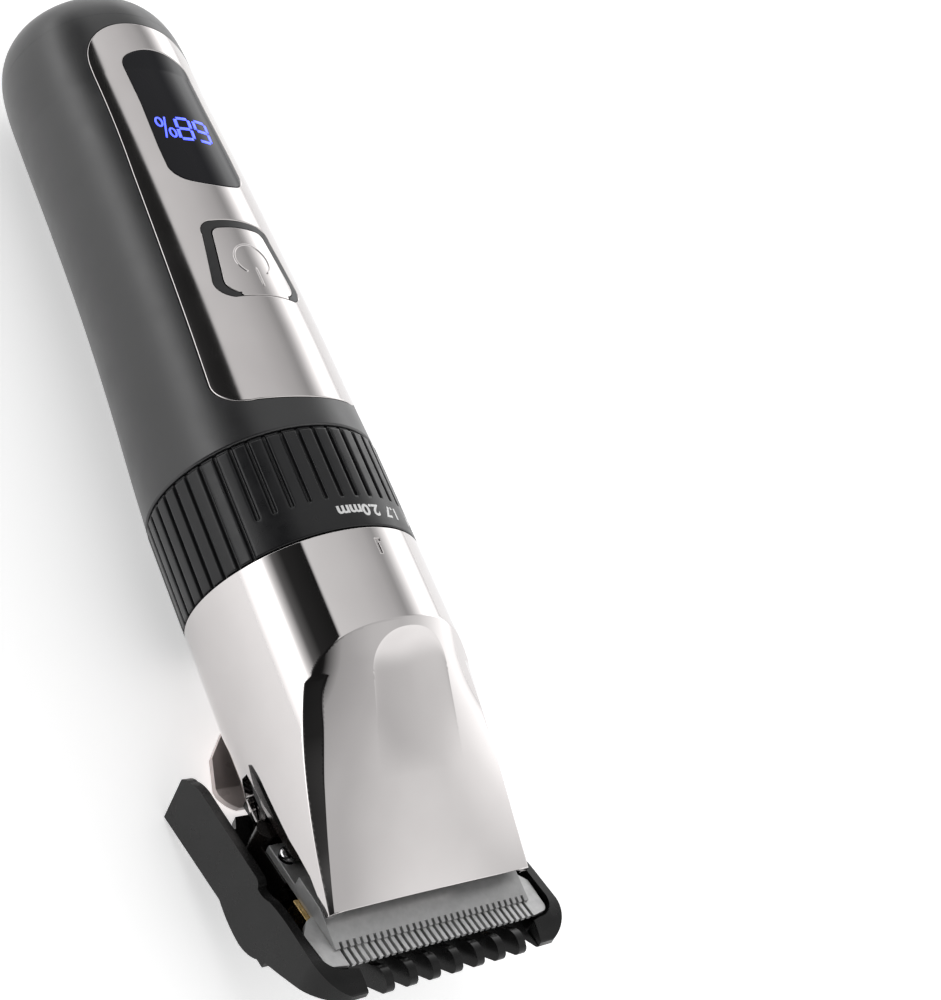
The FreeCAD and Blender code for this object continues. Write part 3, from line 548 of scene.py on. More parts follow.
for maker, rows in FINISHES.items():
    MATERIALS.update({row[0]: maker(*row) for row in rows})


# ---- barrel ----------------
def dome_radius(y):
    reach = np.clip((y - DOME_Y) / DOME_LEN, 0, 1)
    return DOME_R * (1 - reach**DOME_POWER) ** (1 / DOME_POWER)


def barrel_radius(y):
    return np.where(y < DOME_Y, curve(BARREL_R, y), dome_radius(y))


def barrel_surface(proud=0.0):
    """Surface over (u, y), where u is the angle from +Z times SKIN_R."""
    def point(u, y):
        u, y = np.broadcast_arrays(np.asarray(u, float), np.asarray(y, float))
        radius = barrel_radius(y) + proud - INSET
        angle = u / SKIN_R
        middle = np.where(y < DOME_Y, curve(BARREL_Z, y), DOME_Z)
        return around(radius, angle, y, middle)
    return point


def on_skin(loop):
    """Loop drawn in x and y, laid on the barrel's (u, y)."""
    return columns(SKIN_R * np.arcsin(loop[:, 0] / barrel_radius(loop[:, 1])), loop[:, 1])


def panel_loop(grow=0.0):
    """Panel's outline, narrowing towards the tail and ending in a flat arch."""
    w, tail_w = 14.2 + grow, 11.6 + grow
    low, top, shoulder, power = 24.65 - grow, 109.45 + grow, 99.0, 2.9
    turn = np.linspace(0, math.pi, 90)[1:-1]
    across = np.sign(np.cos(turn)) * np.abs(np.cos(turn)) ** (2 / power)
    arch = [(tail_w * x, shoulder + (top - shoulder) * y)
            for x, y in zip(across, np.sin(turn) ** (2 / power))]
    return outline((w, 30.5), (tail_w + 0.75, 75.0), ((tail_w + 0.22, 87.0), (tail_w, shoulder)), *arch,
                   (-tail_w, shoulder), ((-tail_w - 0.22, 87.0), (-tail_w - 0.75, 75.0)), (-w, 30.5),
                   ((1.46 - w, 26.96), (5.0 - w, low + 0.85)), ((0, low), (w - 5.0, low + 0.85)),
                   ((w - 1.46, 26.96), (w, 30.5)))


def lens_loop(grow=0.0):
    """Outline of the display's window, a little narrower towards the tail."""
    w, low, top = 7.3 + grow, 69.9 - grow, 102.95 + grow
    return outline((w, 75.2), (w, 79.0), (w - 0.5, 90.0), (w - 0.5, 99.0),
                   ((w - 0.95, 100.6 + 0.5 * grow), (w - 2.1, top - 1.3)), ((0, top), (2.1 - w, top - 1.3)),
                   ((0.95 - w, 100.6 + 0.5 * grow), (0.5 - w, 99.0)), (0.5 - w, 90.0), (-w, 79.0),
                   (-w, 75.2), ((0.8 - w, low + 2.4), (2.7 - w, low + 0.85)),
                   ((0, low), (w - 2.7, low + 0.85)), ((w - 0.8, low + 2.4), (w, 75.2)), step=0.35)


GASKET_END, KEY_END = 45.3, 45.38  # blade ends of the key's seal and of the key
KEY_GAP = 0.15


def gasket_steps(g, base):
    """Outside of the key's seal, grown by g, from its right end round to its left end."""
    return [(5.9 + g, base), ((7.8 + g, 46.7), (8.3 + g, 49.6)), (6.8 + g, 59.0),
            ((6.2 + g, 60.9 + g), (4.3, 61.6 + g)), ((0, 61.75 + g), (-4.3, 61.6 + g)),
            ((-6.2 - g, 60.9 + g), (-6.8 - g, 59.0)), (-8.3 - g, 49.6),
            ((-7.8 - g, 46.7), (-5.9 - g, base))]


def key_steps(g, base):
    """Outside of the power key, grown by g."""
    return [(4.75 + g, base), (4.9 + g, 46.1), ((6.45 + g, 47.25), (6.85 + g, 49.0)), (5.4 + g, 58.4),
            ((5.0 + g, 59.6 + g), (3.9, 60.1 + g)), ((0, 60.2 + g), (-3.9, 60.1 + g)),
            ((-5.0 - g, 59.6 + g), (-5.4 - g, 58.4)), (-6.85 - g, 49.0),
            ((-6.45 - g, 47.25), (-4.9 - g, 46.1)), (-4.75 - g, base)]


def reversed_steps(steps):
    """The same outline steps, run the other way."""
    ends = [s[1] if isinstance(s[0], tuple) else s for s in steps]
    back = [ends[-1]]
    for i in range(len(steps) - 1, 0, -1):
        back.append((steps[i][0], ends[i - 1]) if isinstance(steps[i][0], tuple) else ends[i - 1])
    return back


def gasket_loop():
    steps = gasket_steps(0.0, GASKET_END) + reversed_steps(key_steps(0.0, GASKET_END))
    return outline(*steps, (5.9, GASKET_END), step=0.3)


def circle(radius, count, x=0.0, y=0.0):
    turn = np.linspace(0, 2 * math.pi, count, endpoint=False)
    return columns(x + radius * np.cos(turn), y + radius * np.sin(turn))


def tail_surface(x, z):
    """End of the dome as a height over (x, z)."""
    reach = np.hypot(x, z - DOME_Z) / DOME_R
    rise = DOME_LEN * (1 - np.clip(reach, 0, 1) ** DOME_POWER) ** (1 / DOME_POWER)
    return columns(-x, DOME_Y + rise, z)


def dome_rows(start_y, rim_radius, angle):
    """Rings of the dome between a place on its side and the rim of its end."""
    start = math.acos((dome_radius(start_y) / DOME_R) ** (DOME_POWER / 2))
    end = math.acos((rim_radius / DOME_R) ** (DOME_POWER / 2))
    rows, normals = [], []
    for turn in np.linspace(start, end, 24):
        across, along = math.cos(turn) ** (2 / DOME_POWER), math.sin(turn) ** (2 / DOME_POWER)
        rows.append(around(DOME_R * across, angle, DOME_Y + DOME_LEN * along, DOME_Z))
        steep, rise = across ** (DOME_POWER - 1) / DOME_R, along ** (DOME_POWER - 1) / DOME_LEN
        n = around(steep, angle, rise)
        normals.append(n / np.linalg.norm(n, axis=1)[:, None])
    return np.concatenate(rows), np.concatenate(normals), len(rows)


PORT = outline((3.2, -1.4), ((4.95, 0.35), (3.2, 2.1)), (-3.2, 2.1), ((-4.95, 0.35), (-3.2, -1.4)),
               (3.2, -1.4), step=0.3)


def barrel_parts():
    surface = barrel_surface()
    half = math.pi * SKIN_R
    front, tail_y, rim_radius, count, rows = 19.62, 112.0, 12.0, 180, 60
    across = np.linspace(-half, half, count + 1)
    up = np.linspace(front, tail_y, rows)[1:-1]
    outer = np.concatenate([columns(across, front), columns(half, up),
                            columns(across[::-1], tail_y), columns(-half, up[::-1])])
    seam = on_skin(panel_loop(0.06))
    skin = patch(outer, [seam], surface, 1.3, 0.12, 1.5, walls=[False, True])
    angle = across[:-1] / SKIN_R
    dome, dome_normals, dome_count = dome_rows(tail_y, rim_radius, angle)
    dome_faces = facing(dome, grid_faces(dome_count, count, True), dome_normals)
    rim = columns(-rim_radius * np.sin(angle), DOME_Z + rim_radius * np.cos(angle))
    cap = patch(rim if area(rim) > 0 else rim[::-1], [PORT], tail_surface, 0.9, 0.15, 1.0,
                walls=[False, True])
    return join(skin, (dome, dome_faces, dome_normals), cap)


def build_barrel():
    shell = mesh_object("barrel_shell", *barrel_parts())
    finish_piece(shell, "handle", "soft_touch", ["barrel_housing"])
    count = 180
    angle = np.linspace(0, 2 * math.pi, count, endpoint=False)
    section = [(19.9, 19.62), (19.82, 19.36), (19.6, 19.25), (18.5, 19.25), (18.4, 19.5), (17.3, 19.5),
               (17.2, 19.3), (17.2, 7.2), (16.9, 7.0), (15.4, 7.0), (15.35, 7.4)]
    rows = [around(r, angle, y) for r, y in section]
    collar = mesh_object("barrel_neck", np.concatenate(rows), grid_faces(len(section), count, True))
    finish_piece(collar, "handle", "soft_touch")


def build_trim():
    """Panel, lens, seal and key in the barrel's top."""
    seat_depth = 1.35
    seat = patch(on_skin(panel_loop(0.2)), [], barrel_surface(-seat_depth), 1.6, 0.01, 0.05)
    # the seat keeps its seal_black slot but is drawn in the darker painted-shade black
    finish_piece(mesh_object("panel_seat", *seat), "handle", "seal_black", finish="recess_black")
    gasket_hole = outline(*gasket_steps(SEAM, GASKET_END), (5.9 + SEAM, GASKET_END), step=0.3)
    panel = patch(on_skin(panel_loop(-0.03)), [on_skin(lens_loop(SEAM)), on_skin(gasket_hole)],
                  barrel_surface(PANEL_PROUD), 0.7, 0.22, 0.9)
    finish_piece(mesh_object("panel_plate", *panel), "handle", "trim_metal", ["front_panel"])
    lens = patch(on_skin(lens_loop()), [], barrel_surface(LENS_PROUD), 0.6, 0.15, 0.9)
    finish_piece(mesh_object("lens_window", *lens), "handle", "lens", ["display_lens"])
    seal = patch(on_skin(gasket_loop()), [], barrel_surface(), 0.4, 0.12, 0.3)
    finish_piece(mesh_object("key_seal", *seal), "handle", "seal_black", ["button_gasket"])
    key_outline = outline(*key_steps(-KEY_GAP, KEY_END), (4.75 - KEY_GAP, KEY_END), step=0.3)
    key = patch(on_skin(key_outline), [], barrel_surface(KEY_PROUD), 0.4, 0.10, 0.5)
    finish_piece(mesh_object("power_key", *key), "button", "trim_metal", ["power_button"])


def strip(path, width, height, surface, closed=False):
    """Raised rounded strip along a path of (u, v) points on a surface."""
    path = np.array(path, float)
    before = np.roll(path, 1, axis=0) if closed else np.vstack([path[:1], path[:-1]])
    after = np.roll(path, -1, axis=0) if closed else np.vstack([path[1:], path[-1:]])
    along = after - before
    along /= np.linalg.norm(along, axis=1)[:, None]
    side = columns(-along[:, 1], along[:, 0])
    half = [(-0.5, -0.4), (-0.42, 0.35), (-0.22, 0.85)]
    section = half + [(0.0, 1.0)] + [(-across, rise) for across, rise in reversed(half)]
    rows = []
    normal = surface_normals(surface, path[:, 0], path[:, 1])
    for across, rise in section:
        at = path + side * (across * width)
        rows.append(surface(at[:, 0], at[:, 1]) + normal * (rise * height))
    count = len(path)
    points = np.concatenate(rows)
    faces = grid_faces(len(section), count, closed)
    if not closed:
        for end in (0, count - 1):
            loop = [r * count + end for r in range(len(section))]
            faces.append(tuple(loop if end == 0 else loop[::-1]))
    return points, faces


def build_symbol():
    """Embossed power sign on the key: a ring open towards the blade and a bar in the opening."""
    surface = barrel_surface(KEY_PROUD)
    radius, y_mid, gap, width, height = 3.3, 53.0, 36.0, 0.45, 0.13
    turn = np.radians(np.linspace(-90 + gap, 270 - gap, 60))
    ring = columns(radius * np.cos(turn), y_mid + radius * np.sin(turn))
    points, faces = strip(on_skin(ring), width, height, surface)
    bar = columns(0.0, np.linspace(47.4, 51.2, 12))
    bar_points, bar_faces = strip(on_skin(bar), width, height, surface)
    faces += [tuple(i + len(points) for i in f) for f in bar_faces]
    sign = mesh_object("key_sign", np.concatenate([points, bar_points]), faces)
    finish_piece(sign, "button", "trim_metal")


def build_figures():
    """Display reading 68 %, its top towards the blade, lying in the lens's face."""
    surface = barrel_surface(LENS_PROUD + 0.01)
    half, tall, middle, lean = 1.32, 2.5, 83.1, 0.10
    bar_width, slash_width, loop_width, height = 0.64, 0.34, 0.38, 0.02
    lines = []

    def figure(x_mid, lit_bars):
        corner = {"tl": (half, -tall), "tr": (-half, -tall), "ml": (half, 0), "mr": (-half, 0),
                  "bl": (half, tall), "br": (-half, tall)}
        bars = {"a": ("tl", "tr"), "b": ("tr", "mr"), "c": ("mr", "br"), "d": ("bl", "br"),
                "e": ("ml", "bl"), "f": ("tl", "ml"), "g": ("ml", "mr")}
        for name in lit_bars:
            here, there = (np.array(corner[c], float) for c in bars[name])
            share = np.linspace(0.10, 0.90, 8)[:, None]
            path = here + (there - here) * share
            path[:, 0] += x_mid + lean * path[:, 1]
            path[:, 1] += middle
            lines.append((path, bar_width, False))

    figure(2.4, "acdefg")
    figure(-1.3, "abcdefg")
    lines.append((np.linspace((-4.2, 85.8), (-5.35, 80.9), 10), slash_width, False))
    for x, y in ((-3.85, 82.05), (-5.45, 84.7)):
        lines.append((circle(1.0, 28) * (0.50, 1.02) + (x, y), loop_width, True))
    parts = []
    for path, width, closed in lines:
        points, faces = strip(on_skin(path), width, height, surface, closed)
        parts.append((points, faces, np.zeros_like(points)))
    points, faces, _ = join(*parts)
    figures = mesh_object("display_figures", points, faces)
    finish_piece(figures, "handle", "led", ["digit_segments"])


# ---- length ring ----------------
def build_ring():
    """Ribbed ring: 45 lands with rounded grooves, and a smooth band for the numbers."""
    pitch = 360.0 / RIB_COUNT
    width, deep = 0.74, 0.7
    groove = math.degrees(width / BODY_R)
    # angle from a groove's middle, and share of its depth
    steps = [(0.0, 1.0), (groove * 0.28, 1.0), (groove * 0.42, 0.75), (groove * 0.5, 0.25),
             (groove * 0.58, 0.06), (groove * 0.75, 0.0), (pitch * 0.3, 0.0), (pitch / 2, 0.0)]
    offsets = [(-a, d) for a, d in reversed(steps[1:-1])] + steps
    angle, cut = np.array([(rib * pitch + a, d) for rib in range(RIB_COUNT) for a, d in offsets]).T
    centre = np.round(angle / pitch) * pitch
    signed = (centre + 180.0) % 360.0 - 180.0
    banded = (signed > BAND_FROM) & (signed < BAND_TO)
    # place along the ring, and how far its rim is rounded there
    rows = [(0.15, 0.28), (0.19, 0.14), (0.30, 0.03), (0.5, 0.0), (3.0, 0.0), (BAND_LEN - 0.5, 0.0),
            (BAND_LEN - 0.2, 0.0), (BAND_LEN, 0.0), (BAND_LEN + 0.15, 0.0), (BAND_LEN + 0.4, 0.0),
            (12.0, 0.0), (RING_LEN - 1.6, 0.0), (RING_LEN - 1.15, 0.0), (RING_LEN - 0.95, 0.0),
            (RING_LEN - 0.8, 0.02), (RING_LEN - 0.66, 0.12), (RING_LEN - 0.6, 0.34),
            (RING_LEN - 0.3, 0.38), (RING_LEN - 0.05, 0.45)]
    points = []
    for y, chamfer in rows:
        start = ramp(BAND_LEN - 0.1, BAND_LEN + 0.3, y)
        share = np.where(banded, start, 1.0)
        radius = BODY_R - np.maximum(chamfer, cut * deep * share)
        a = np.radians(angle)
        points.append(around(radius, a, y))
    a = np.radians(angle)
    for radius, y in ((18.5, RING_LEN - 0.05), (18.4, RING_LEN - 0.3), (17.4, RING_LEN - 1.3), (17.35, 1.0),
                      (17.4, 0.2), (19.3, 0.15)):
        points.append(around(radius, a, y))
    points = points[-1:] + points[:-1]
    faces = grid_faces(len(points), len(angle), True)
    faces += [((len(points) - 1) * len(angle) + c, (len(points) - 1) * len(angle) + (c + 1) % len(angle),
               (c + 1) % len(angle), c) for c in range(len(angle))]
    ring = mesh_object("length_dial", np.concatenate(points), [f[::-1] for f in faces])
    finish_piece(ring, "ring", "ring_black", ["length_ring"])


def text_mesh(words, size, bold):
    """Flat glyph mesh: points in x and y, and faces."""
    source = bpy.data.curves.new("glyphs", "FONT")
    source.body = words
    source.size = size
    source.offset = bold
    source.align_x = "CENTER"
    source.align_y = "CENTER"
    holder = bpy.data.objects.new("glyphs", source)
    bpy.context.scene.collection.objects.link(holder)
    mesh = bpy.data.meshes.new_from_object(holder.evaluated_get(bpy.context.evaluated_depsgraph_get()))
    work = bmesh.new()
    work.from_mesh(mesh)
    bmesh.ops.remove_doubles(work, verts=work.verts, dist=1e-4)
    bmesh.ops.triangulate(work, faces=work.faces)
    long_edges = [e for e in work.edges if e.calc_length() > 0.5]
    bmesh.ops.subdivide_edges(work, edges=long_edges, cuts=2)
    bmesh.ops.triangulate(work, faces=work.faces)
    points = np.array([v.co[:2] for v in work.verts])
    faces = [tuple(v.index for v in f.verts) for f in work.faces]
    work.free()
    bpy.data.objects.remove(holder)
    bpy.data.meshes.remove(mesh)
    bpy.data.curves.remove(source)
    return points, faces


def build_numbers():
    """Cutting lengths printed on the ring's band, their tops towards the blade."""
    labels = [("2.0mm", -2.0), ("1.7", 19.5), ("1.4", 39.5), ("1.1", 59.5), ("0.8", 79.5)]
    size, bold, stretch, y_mid, ink = 2.75, 0.10, 1.08, 3.1, 0.025
    points, faces = [], []
    for words, at in labels:
        flat, shapes = text_mesh(words, size, bold)
        angle = np.radians(at) - flat[:, 0] * stretch / BODY_R
        faces += [tuple(i + len(points) for i in f) for f in shapes]
        points += around(BODY_R + ink, angle, y_mid - flat[:, 1]).tolist()
    numbers = mesh_object("dial_numbers", np.array(points), faces)
    finish_piece(numbers, "ring", "ring_black", finish="ink_white")


# ---- plated head ----------------
FRONT_CROWN = [(-52.4, 0.0008), (-44, 0.0048), (-36, 0.0090), (-28.5, 0.0140), (-22, 0.0208),
               (-20, 0.0226), (-18, 0.0237), (-16, 0.0245)]
CHAMFER_SIDE = [(-52.4, 85.0), (-44, 79.5), (-36, 73.0), (-28.5, 65.5), (-24, 60.0), (-21, 55.5),
                (-19, 51.5), (-16, 44.0)]
CHAMFER_TURN = [(-52.4, 51.0), (-44, 49.0), (-36, 47.0), (-28.5, 44.0), (-24, 41.0), (-21, 38.5),
                (-19, 37.0), (-16, 36.0)]
SCOOP_HALF = [(-40, 8.6), (-30, 7.9), (-23, 7.4), (-16, 7.4)]


def front_radius(turn, y):
    """Distance from the axis to the crowned front face, at an angle from +Z."""
    sin, cos = np.sin(turn), np.cos(turn)
    middle = BODY_R + FRONT_SLOPE * (y - ARCH_Y)
    bend = curve(FRONT_CROWN, y) * sin**2
    root = np.sqrt(cos**2 + 4 * np.maximum(bend * middle, 0))
    return np.where(bend > 1e-7, (root - cos) / np.maximum(2 * bend, 1e-9), middle / np.maximum(cos, 0.02))


def chamfer_radius(turn, y):
    """Distance from the axis to the flat chamfer beside the front face, below its slanting top edge."""
    side, lean = np.radians(curve(CHAMFER_SIDE, y)), np.radians(curve(CHAMFER_TURN, y))
    facing_it = np.cos(turn - lean)
    plane = np.where(facing_it > 0.2, BODY_R * np.cos(side - lean) / np.maximum(facing_it, 0.2), 60.0)
    return np.maximum(plane, BODY_R + CHAMFER_RISE * (y - chamfer_top(turn)))


def chamfer_top(turn):
    """Place of the chamfer's top edge along Y, at an angle from +Z."""
    return CHAMFER_TOP - 6.2 * (turn - CHAMFER_CORNER)


def scoop_depth(x, y):
    """Depth of the shallow thumb scoop: steepest just inside its rim, and fading out at its lower end."""
    upper = np.clip((y - SCOOP_Y) / SCOOP_RISE, 0, 1)
    level = 1 - (np.abs(x) / curve(SCOOP_HALF, y)) ** SCOOP_POWER - upper ** SCOOP_POWER
    return SCOOP_DEPTH * np.clip(level, 0, 1) ** 0.8 * ramp(-37.0, -20.0, y)


def head_surface(x_arc, y):
    """Head's outside over (u, y), u being the angle times BODY_R: a cylinder cut by the crowned front
    face, by a flat chamfer each side, and by the shallow thumb scoop in the front face."""
    x_arc, y = np.broadcast_arrays(np.asarray(x_arc, float), np.asarray(y, float))
    turn = np.abs(x_arc) / BODY_R
    sin, cos = np.sin(turn), np.cos(turn)
    front = np.where((y < ARCH_Y + 2) & (turn < math.radians(89)), front_radius(turn, y), 40.0)
    radius = soft_min(np.full_like(turn, BODY_R), front, CREASE_R)
    radius = soft_min(radius, chamfer_radius(turn, y), CREASE_R)
    radius = radius - scoop_depth(radius * sin, y) * np.clip(cos, 0, 1)
    return columns(np.sign(x_arc) * radius * sin, y, radius * cos)


def solve(function, low, high):
    """Zero of an increasing-or-decreasing function between low and high, for arrays of ends."""
    sign = np.sign(function(low))
    for _ in range(40):
        middle = (low + high) / 2
        same = np.sign(function(middle)) == sign
        low, high = np.where(same, middle, low), np.where(same, high, middle)
    return (low + high) / 2


def head_creases():
    """Lines over (u, y) that the head's creases follow, each drawn as a close triple."""
    rows = np.linspace(-HEAD_LEN + 0.2, -20.6, 130)
    outer = np.radians(curve(CHAMFER_SIDE, rows))
    inner = solve(lambda t: front_radius(t, rows) - chamfer_radius(t, rows),
                  np.radians(curve(CHAMFER_TURN, rows)) - 0.12, outer - 0.004)
    turns = np.radians(np.linspace(8, 46, 90))
    arch = solve(lambda y: front_radius(turns, y) - BODY_R, np.full(90, -24.0), np.full(90, -15.5))
    top = np.radians(np.linspace(40, 55, 40))
    share = np.linspace(0.02, 0.99, 70)
    rim = SCOOP_Y + SCOOP_RISE * (1 - share ** SCOOP_POWER) ** (1 / SCOOP_POWER)
    side = np.linspace(-30.0, SCOOP_Y - 0.2, 20)

    def scoop_arc(half, y):
        return BODY_R * solve(lambda t: np.minimum(BODY_R, front_radius(t, y)) * np.sin(t) - half,
                              np.zeros(len(y)), np.full(len(y), 0.8))
    made = []
    for u, y in ((outer * BODY_R, rows), (inner * BODY_R, rows), (turns * BODY_R, arch),
                 (top * BODY_R, chamfer_top(top)), (scoop_arc(share * curve(SCOOP_HALF, rim), rim), rim),
                 (scoop_arc(curve(SCOOP_HALF, side), side), side)):
        middle = columns(u, y)
        along = np.gradient(middle, axis=0)
        across = columns(-along[:, 1], along[:, 0]) / np.linalg.norm(along, axis=1)[:, None]
        for offset in (-0.06, 0.0, 0.06):
            moved = middle + across * offset
            made += [moved, moved * np.array((-1, 1))]
    return made


def head_loop():
    """Edge of the shell over (u, y): whole at the ring, open at the back and at both sides."""
    def at(z):
        return BODY_R * math.acos(z / BODY_R)
    back = math.pi * BODY_R
    right = [(back, -0.15), (back, -14.0), (at(-15.5), -14.0), (at(-14.0), -22.0), (at(-12.4), -29.0),
             (at(-10.4), -33.5), (at(-8.6), -33.5), (at(-10.4), -28.8), (at(-7.8), -26.6),
             (at(-5.2), -27.0), (at(-3.6), -33.0), (at(-1.0), -38.0), (at(0.1), -42.0), (at(0.9), -46.0),
             (at(0.9), -HEAD_LEN)]
    left = [(-u, y) for u, y in reversed(right)]
    return outline(*right, *left, right[0], step=0.5)


def build_head():
    """Plated shell, its sunk index mark and its inside."""
    marker = outline((-0.28, -4.9), (0.28, -4.9), (0.28, -2.75), (0.75, -2.75), (0.75, -2.25),
                     (-0.28, -2.25), (-0.28, -4.9), step=0.2)

    def shaped(p):
        """Where the front face and the chamfers are, which need closer points."""
        return (p[:, 1] < -14.6) & (np.abs(p[:, 0]) < 31.5)
    shell = patch(head_loop(), [marker], head_surface, 0.8, 0.14, HEAD_WALL, lines=head_creases(),
                  fine=(shaped, 0.27))
    head = mesh_object("head_casing", *shell)
    finish_piece(head, "handle", "head_chrome", ["head_shell"])

    def floor(u, y):
        return head_surface(u, y) - np.array((0, 0, MARKER_DEPTH))
    tick = patch(inset(marker, -0.05), [], floor, 0.3, 0.001, 0.02)
    finish_piece(mesh_object("head_marker", *tick), "handle", "head_chrome")

    def inner(u, y):
        return head_surface(u, y) - HEAD_WALL * surface_normals(head_surface, u, y)
    points, faces, normals = patch(inset(head_loop(), 0.2), [], inner, 1.2, 0.01, 0.02)
    lining = mesh_object("head_inside", points, [f[::-1] for f in faces], -normals)
    finish_piece(lining, "handle", "head_chrome")


# ---- blades and comb ----------------
def build_rounded():
    """Pieces whose CAD shape is kept, with their edges rounded as moulded or ground parts have them."""
    rows = [("guard_comb", "comb_moulding", 0.42, 3, "comb", "comb_black"),
            ("blade_frame", "blade_holder", 0.25, 2, "handle", "frame_black"),
            ("head_liner", "side_liner", 0.18, 2, "handle", "frame_black"),
            ("brass_spacers", "brass_blocks", 0.15, 2, "handle", "brass"),
            ("fixed_blade", "lower_blade", 0.07, 2, "handle", "blade_steel"),
            ("moving_blade", "upper_blade", 0.06, 2, "cutter", "blade_dark"),
            ("drive_yoke", "drive_fork", 0.2, 2, "cutter", "cam_nylon"),
            ("blade_carriage", "carriage_slide", 0.2, 2, "carriage", "frame_black"),
            ("blade_springs", "spring_strips", 0.06, 1, "carriage", "steel"),
            ("heel_plate", "heel_tongue", 0.35, 3, "handle", "heel_satin")]
    for node, name, width, segments, body, finish in rows:
        piece = rounded(node, name, width, segments)
        # the heel keeps its head_chrome slot but is drawn in the light pinkish painted-reflection colour
        slot = "head_chrome" if finish == "heel_satin" else finish
        finish_piece(piece, body, slot, [node], finish)


def build_screws():
    """Two bright round-headed screws in the head's side openings."""
    section = [(0.0, 1.50), (0.5, 1.45), (0.9, 1.34), (1.22, 1.16), (1.42, 0.92), (1.5, 0.6), (1.05, 0.42),
               (1.0, 0.30), (1.0, -4.4), (0.0, -4.5)]
    count, aside, back, least = 48, 17.0, 20.0, 1e-3
    angle = np.linspace(0, 2 * math.pi, count, endpoint=False)
    points, faces = [], []
    for x in (-aside, aside):
        rows = [columns(x + max(r, least) * np.cos(angle), back + max(r, least) * np.sin(angle), h)
                for r, h in section]
        shift = len(points)
        faces += [tuple(i + shift for i in f[::-1]) for f in grid_faces(len(section), count, True)]
        points += np.concatenate(rows).tolist()
    screws = mesh_object("side_screws", np.array(points), faces, matrix=BLADE)
    finish_piece(screws, "handle", "steel", ["blade_screws"])


# ---- CAD nodes that stay ----------------
def dress_nodes():
    """Every CAD node that is still shown gets its procedural material."""
    slots = {row["node"]: row["material_slot"] for row in frame["record"]["subparts"]}
    for name, node in frame["nodes"].items():
        node.data.materials.clear()
        node.data.materials.append(MATERIALS[slots[name]])


# ---- studio ----------------
def build_floor():
    mesh = bpy.data.meshes.new("studio_floor")
    half = 3.0
    mesh.from_pydata([(-half, -half, 0), (half, -half, 0), (half, half, 0), (-half, half, 0)], [],
                     [(0, 1, 2, 3)])
    floor = new_object("studio_floor", mesh)
    floor.location.z = -0.0002
    s = Shader("studio_floor", Specular_IOR_Level=0.2, Emission_Color=(1, 1, 1, 1), Emission_Strength=0.48)
    s.colour(s.noise(400, 2), (0.93, 0.93, 0.93), (0.95, 0.95, 0.95))
    s.roughness(s.noise(60, 3), 0.75, 0.85)
    mesh.materials.append(s.material)


# brightness of the studio round the clipper's axis: degrees from straight up (+ to the right), level
BEHIND = [(-180, 0.9), (-92, 1.1), (-84, 2.0), (-76, 3.4), (-70, 2.8), (-64, 1.0), (-57, 0.16), (-48, 0.03),
          (-27.4, 0.015), (-26.4, 0.92), (8, 0.80), (32, 0.62), (44, 0.44), (50, 0.68), (58, 1.3),
          (68, 2.3), (81, 2.2), (91, 0.85), (180, 0.8)]
AHEAD = [(-180, 0.9), (-122, 0.5), (-112, 0.03), (-24, 0.012), (-14, 0.52), (8, 0.68), (34, 0.70),
         (52, 0.92), (66, 1.25), (80, 1.7), (100, 1.6), (180, 0.9)]
DOWNWARD = [(-180, 0.9), (-122, 0.5), (-112, 0.03), (-24, 0.012), (-12, 0.78), (20, 1.12), (60, 1.3),
            (90, 1.5), (180, 0.9)]
TOP_LEVEL = 3.4  # brightest band, which the world's strength carries
FAR_LEVEL = 1.5  # soft boxes beyond the tail and beyond the blade


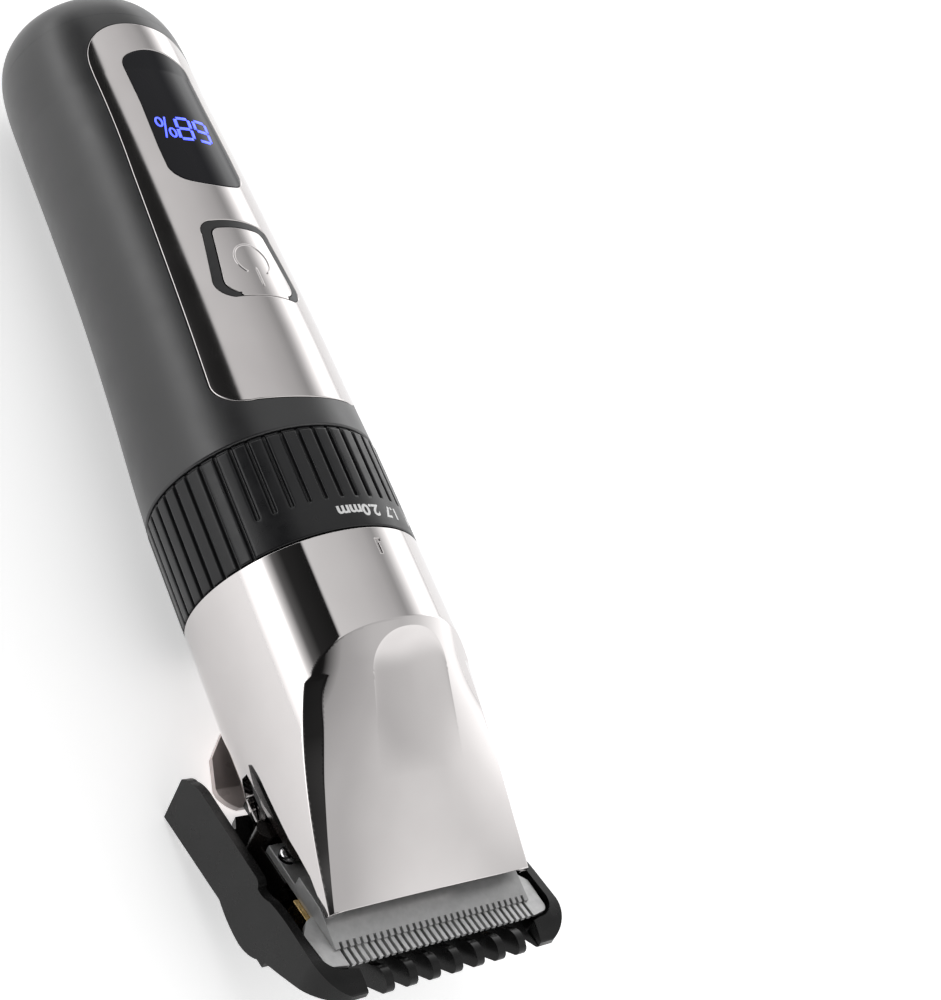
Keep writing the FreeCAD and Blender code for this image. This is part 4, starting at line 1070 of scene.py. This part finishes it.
def build_studio():
    """Long soft boxes on both sides with dark gaps between, one set behind the ring and one ahead."""
    world = bpy.data.worlds.new("studio")
    bpy.context.scene.world = world
    world.use_nodes = True
    nodes, links = world.node_tree.nodes, world.node_tree.links
    direction = nodes.new("ShaderNodeTexCoord").outputs["Generated"]
    split = nodes.new("ShaderNodeSeparateXYZ")
    links.new(direction, split.inputs["Vector"])

    def step(value, low, high, out_low=0.0, out_high=1.0, kind="SMOOTHSTEP"):
        node = nodes.new("ShaderNodeMapRange")
        node.interpolation_type = kind
        filled(node, From_Min=low, From_Max=high, To_Min=out_low, To_Max=out_high)
        links.new(value, node.inputs["Value"])
        return node.outputs["Result"]

    def bands(table, value):
        node = nodes.new("ShaderNodeValToRGB")
        elements = node.color_ramp.elements
        while len(elements) < len(table):
            elements.new(0.5)
        for element, (degrees, _) in zip(elements, table):
            element.position = (degrees + 180) / 360
        for element, (_, level) in zip(elements, table):
            element.color = (*(level / TOP_LEVEL,) * 3, 1)
        links.new(value, node.inputs["Fac"])
        return node.outputs["Color"]

    def blend(share, a, b):
        node = nodes.new("ShaderNodeMixRGB")
        links.new(share, node.inputs["Fac"])
        links.new(a, node.inputs["Color1"])
        if b is None:
            node.inputs["Color2"].default_value = (*(FAR_LEVEL / TOP_LEVEL,) * 3, 1)
        else:
            links.new(b, node.inputs["Color2"])
        return node.outputs["Color"]

    turn = nodes.new("ShaderNodeMath")
    turn.operation = "ARCTAN2"
    links.new(split.outputs["X"], turn.inputs[0])
    links.new(split.outputs["Z"], turn.inputs[1])
    round_axis = step(turn.outputs["Value"], -math.pi, math.pi, kind="LINEAR")
    # along the clipper, from -1 beyond the blade to 1 beyond the tail
    along = split.outputs["Y"]
    light = blend(step(along, -0.02, 0.16), bands(AHEAD, round_axis), bands(BEHIND, round_axis))
    light = blend(step(along, -0.50, -0.28, 1.0, 0.0), light, bands(DOWNWARD, round_axis))
    light = blend(step(along, 0.86, 0.95), light, None)
    light = blend(step(along, -0.86, -0.70, 1.0, 0.0), light, None)
    background = nodes["Background"]
    links.new(light, background.inputs["Color"])
    background.inputs["Strength"].default_value = TOP_LEVEL


def build_camera():
    """Camera above the blade end on the -X side, looking down towards the tail."""
    # axes and place in the clipper's own frame
    right = Vector((0.71876, -0.39152, 0.57454))
    down = Vector((-0.00927, -0.83169, -0.55516))
    ahead = Vector((0.69520, 0.39370, -0.60141))
    data = bpy.data.cameras.new("camera")
    data.lens = 58.41
    data.sensor_width = 36.0
    data.clip_start = 0.01
    turn = CLIPPER.to_3x3() * 1000.0
    axes = [turn @ right, turn @ -down, turn @ -ahead]
    camera = bpy.data.objects.new("camera", data)
    place = Vector((-161.87, -100.62, 180.59))
    camera.matrix_world = (Matrix.Translation(CLIPPER @ place)
                           @ Matrix(axes).transposed().to_4x4())
    bpy.context.scene.collection.objects.link(camera)
    bpy.context.scene.camera = camera


dress_nodes()
build_barrel()
build_trim()
build_symbol()
build_figures()
build_ring()
build_numbers()
build_head()
build_rounded()
build_screws()
build_floor()
build_studio()
build_camera()
bpy.context.scene.view_settings.view_transform = "Standard"
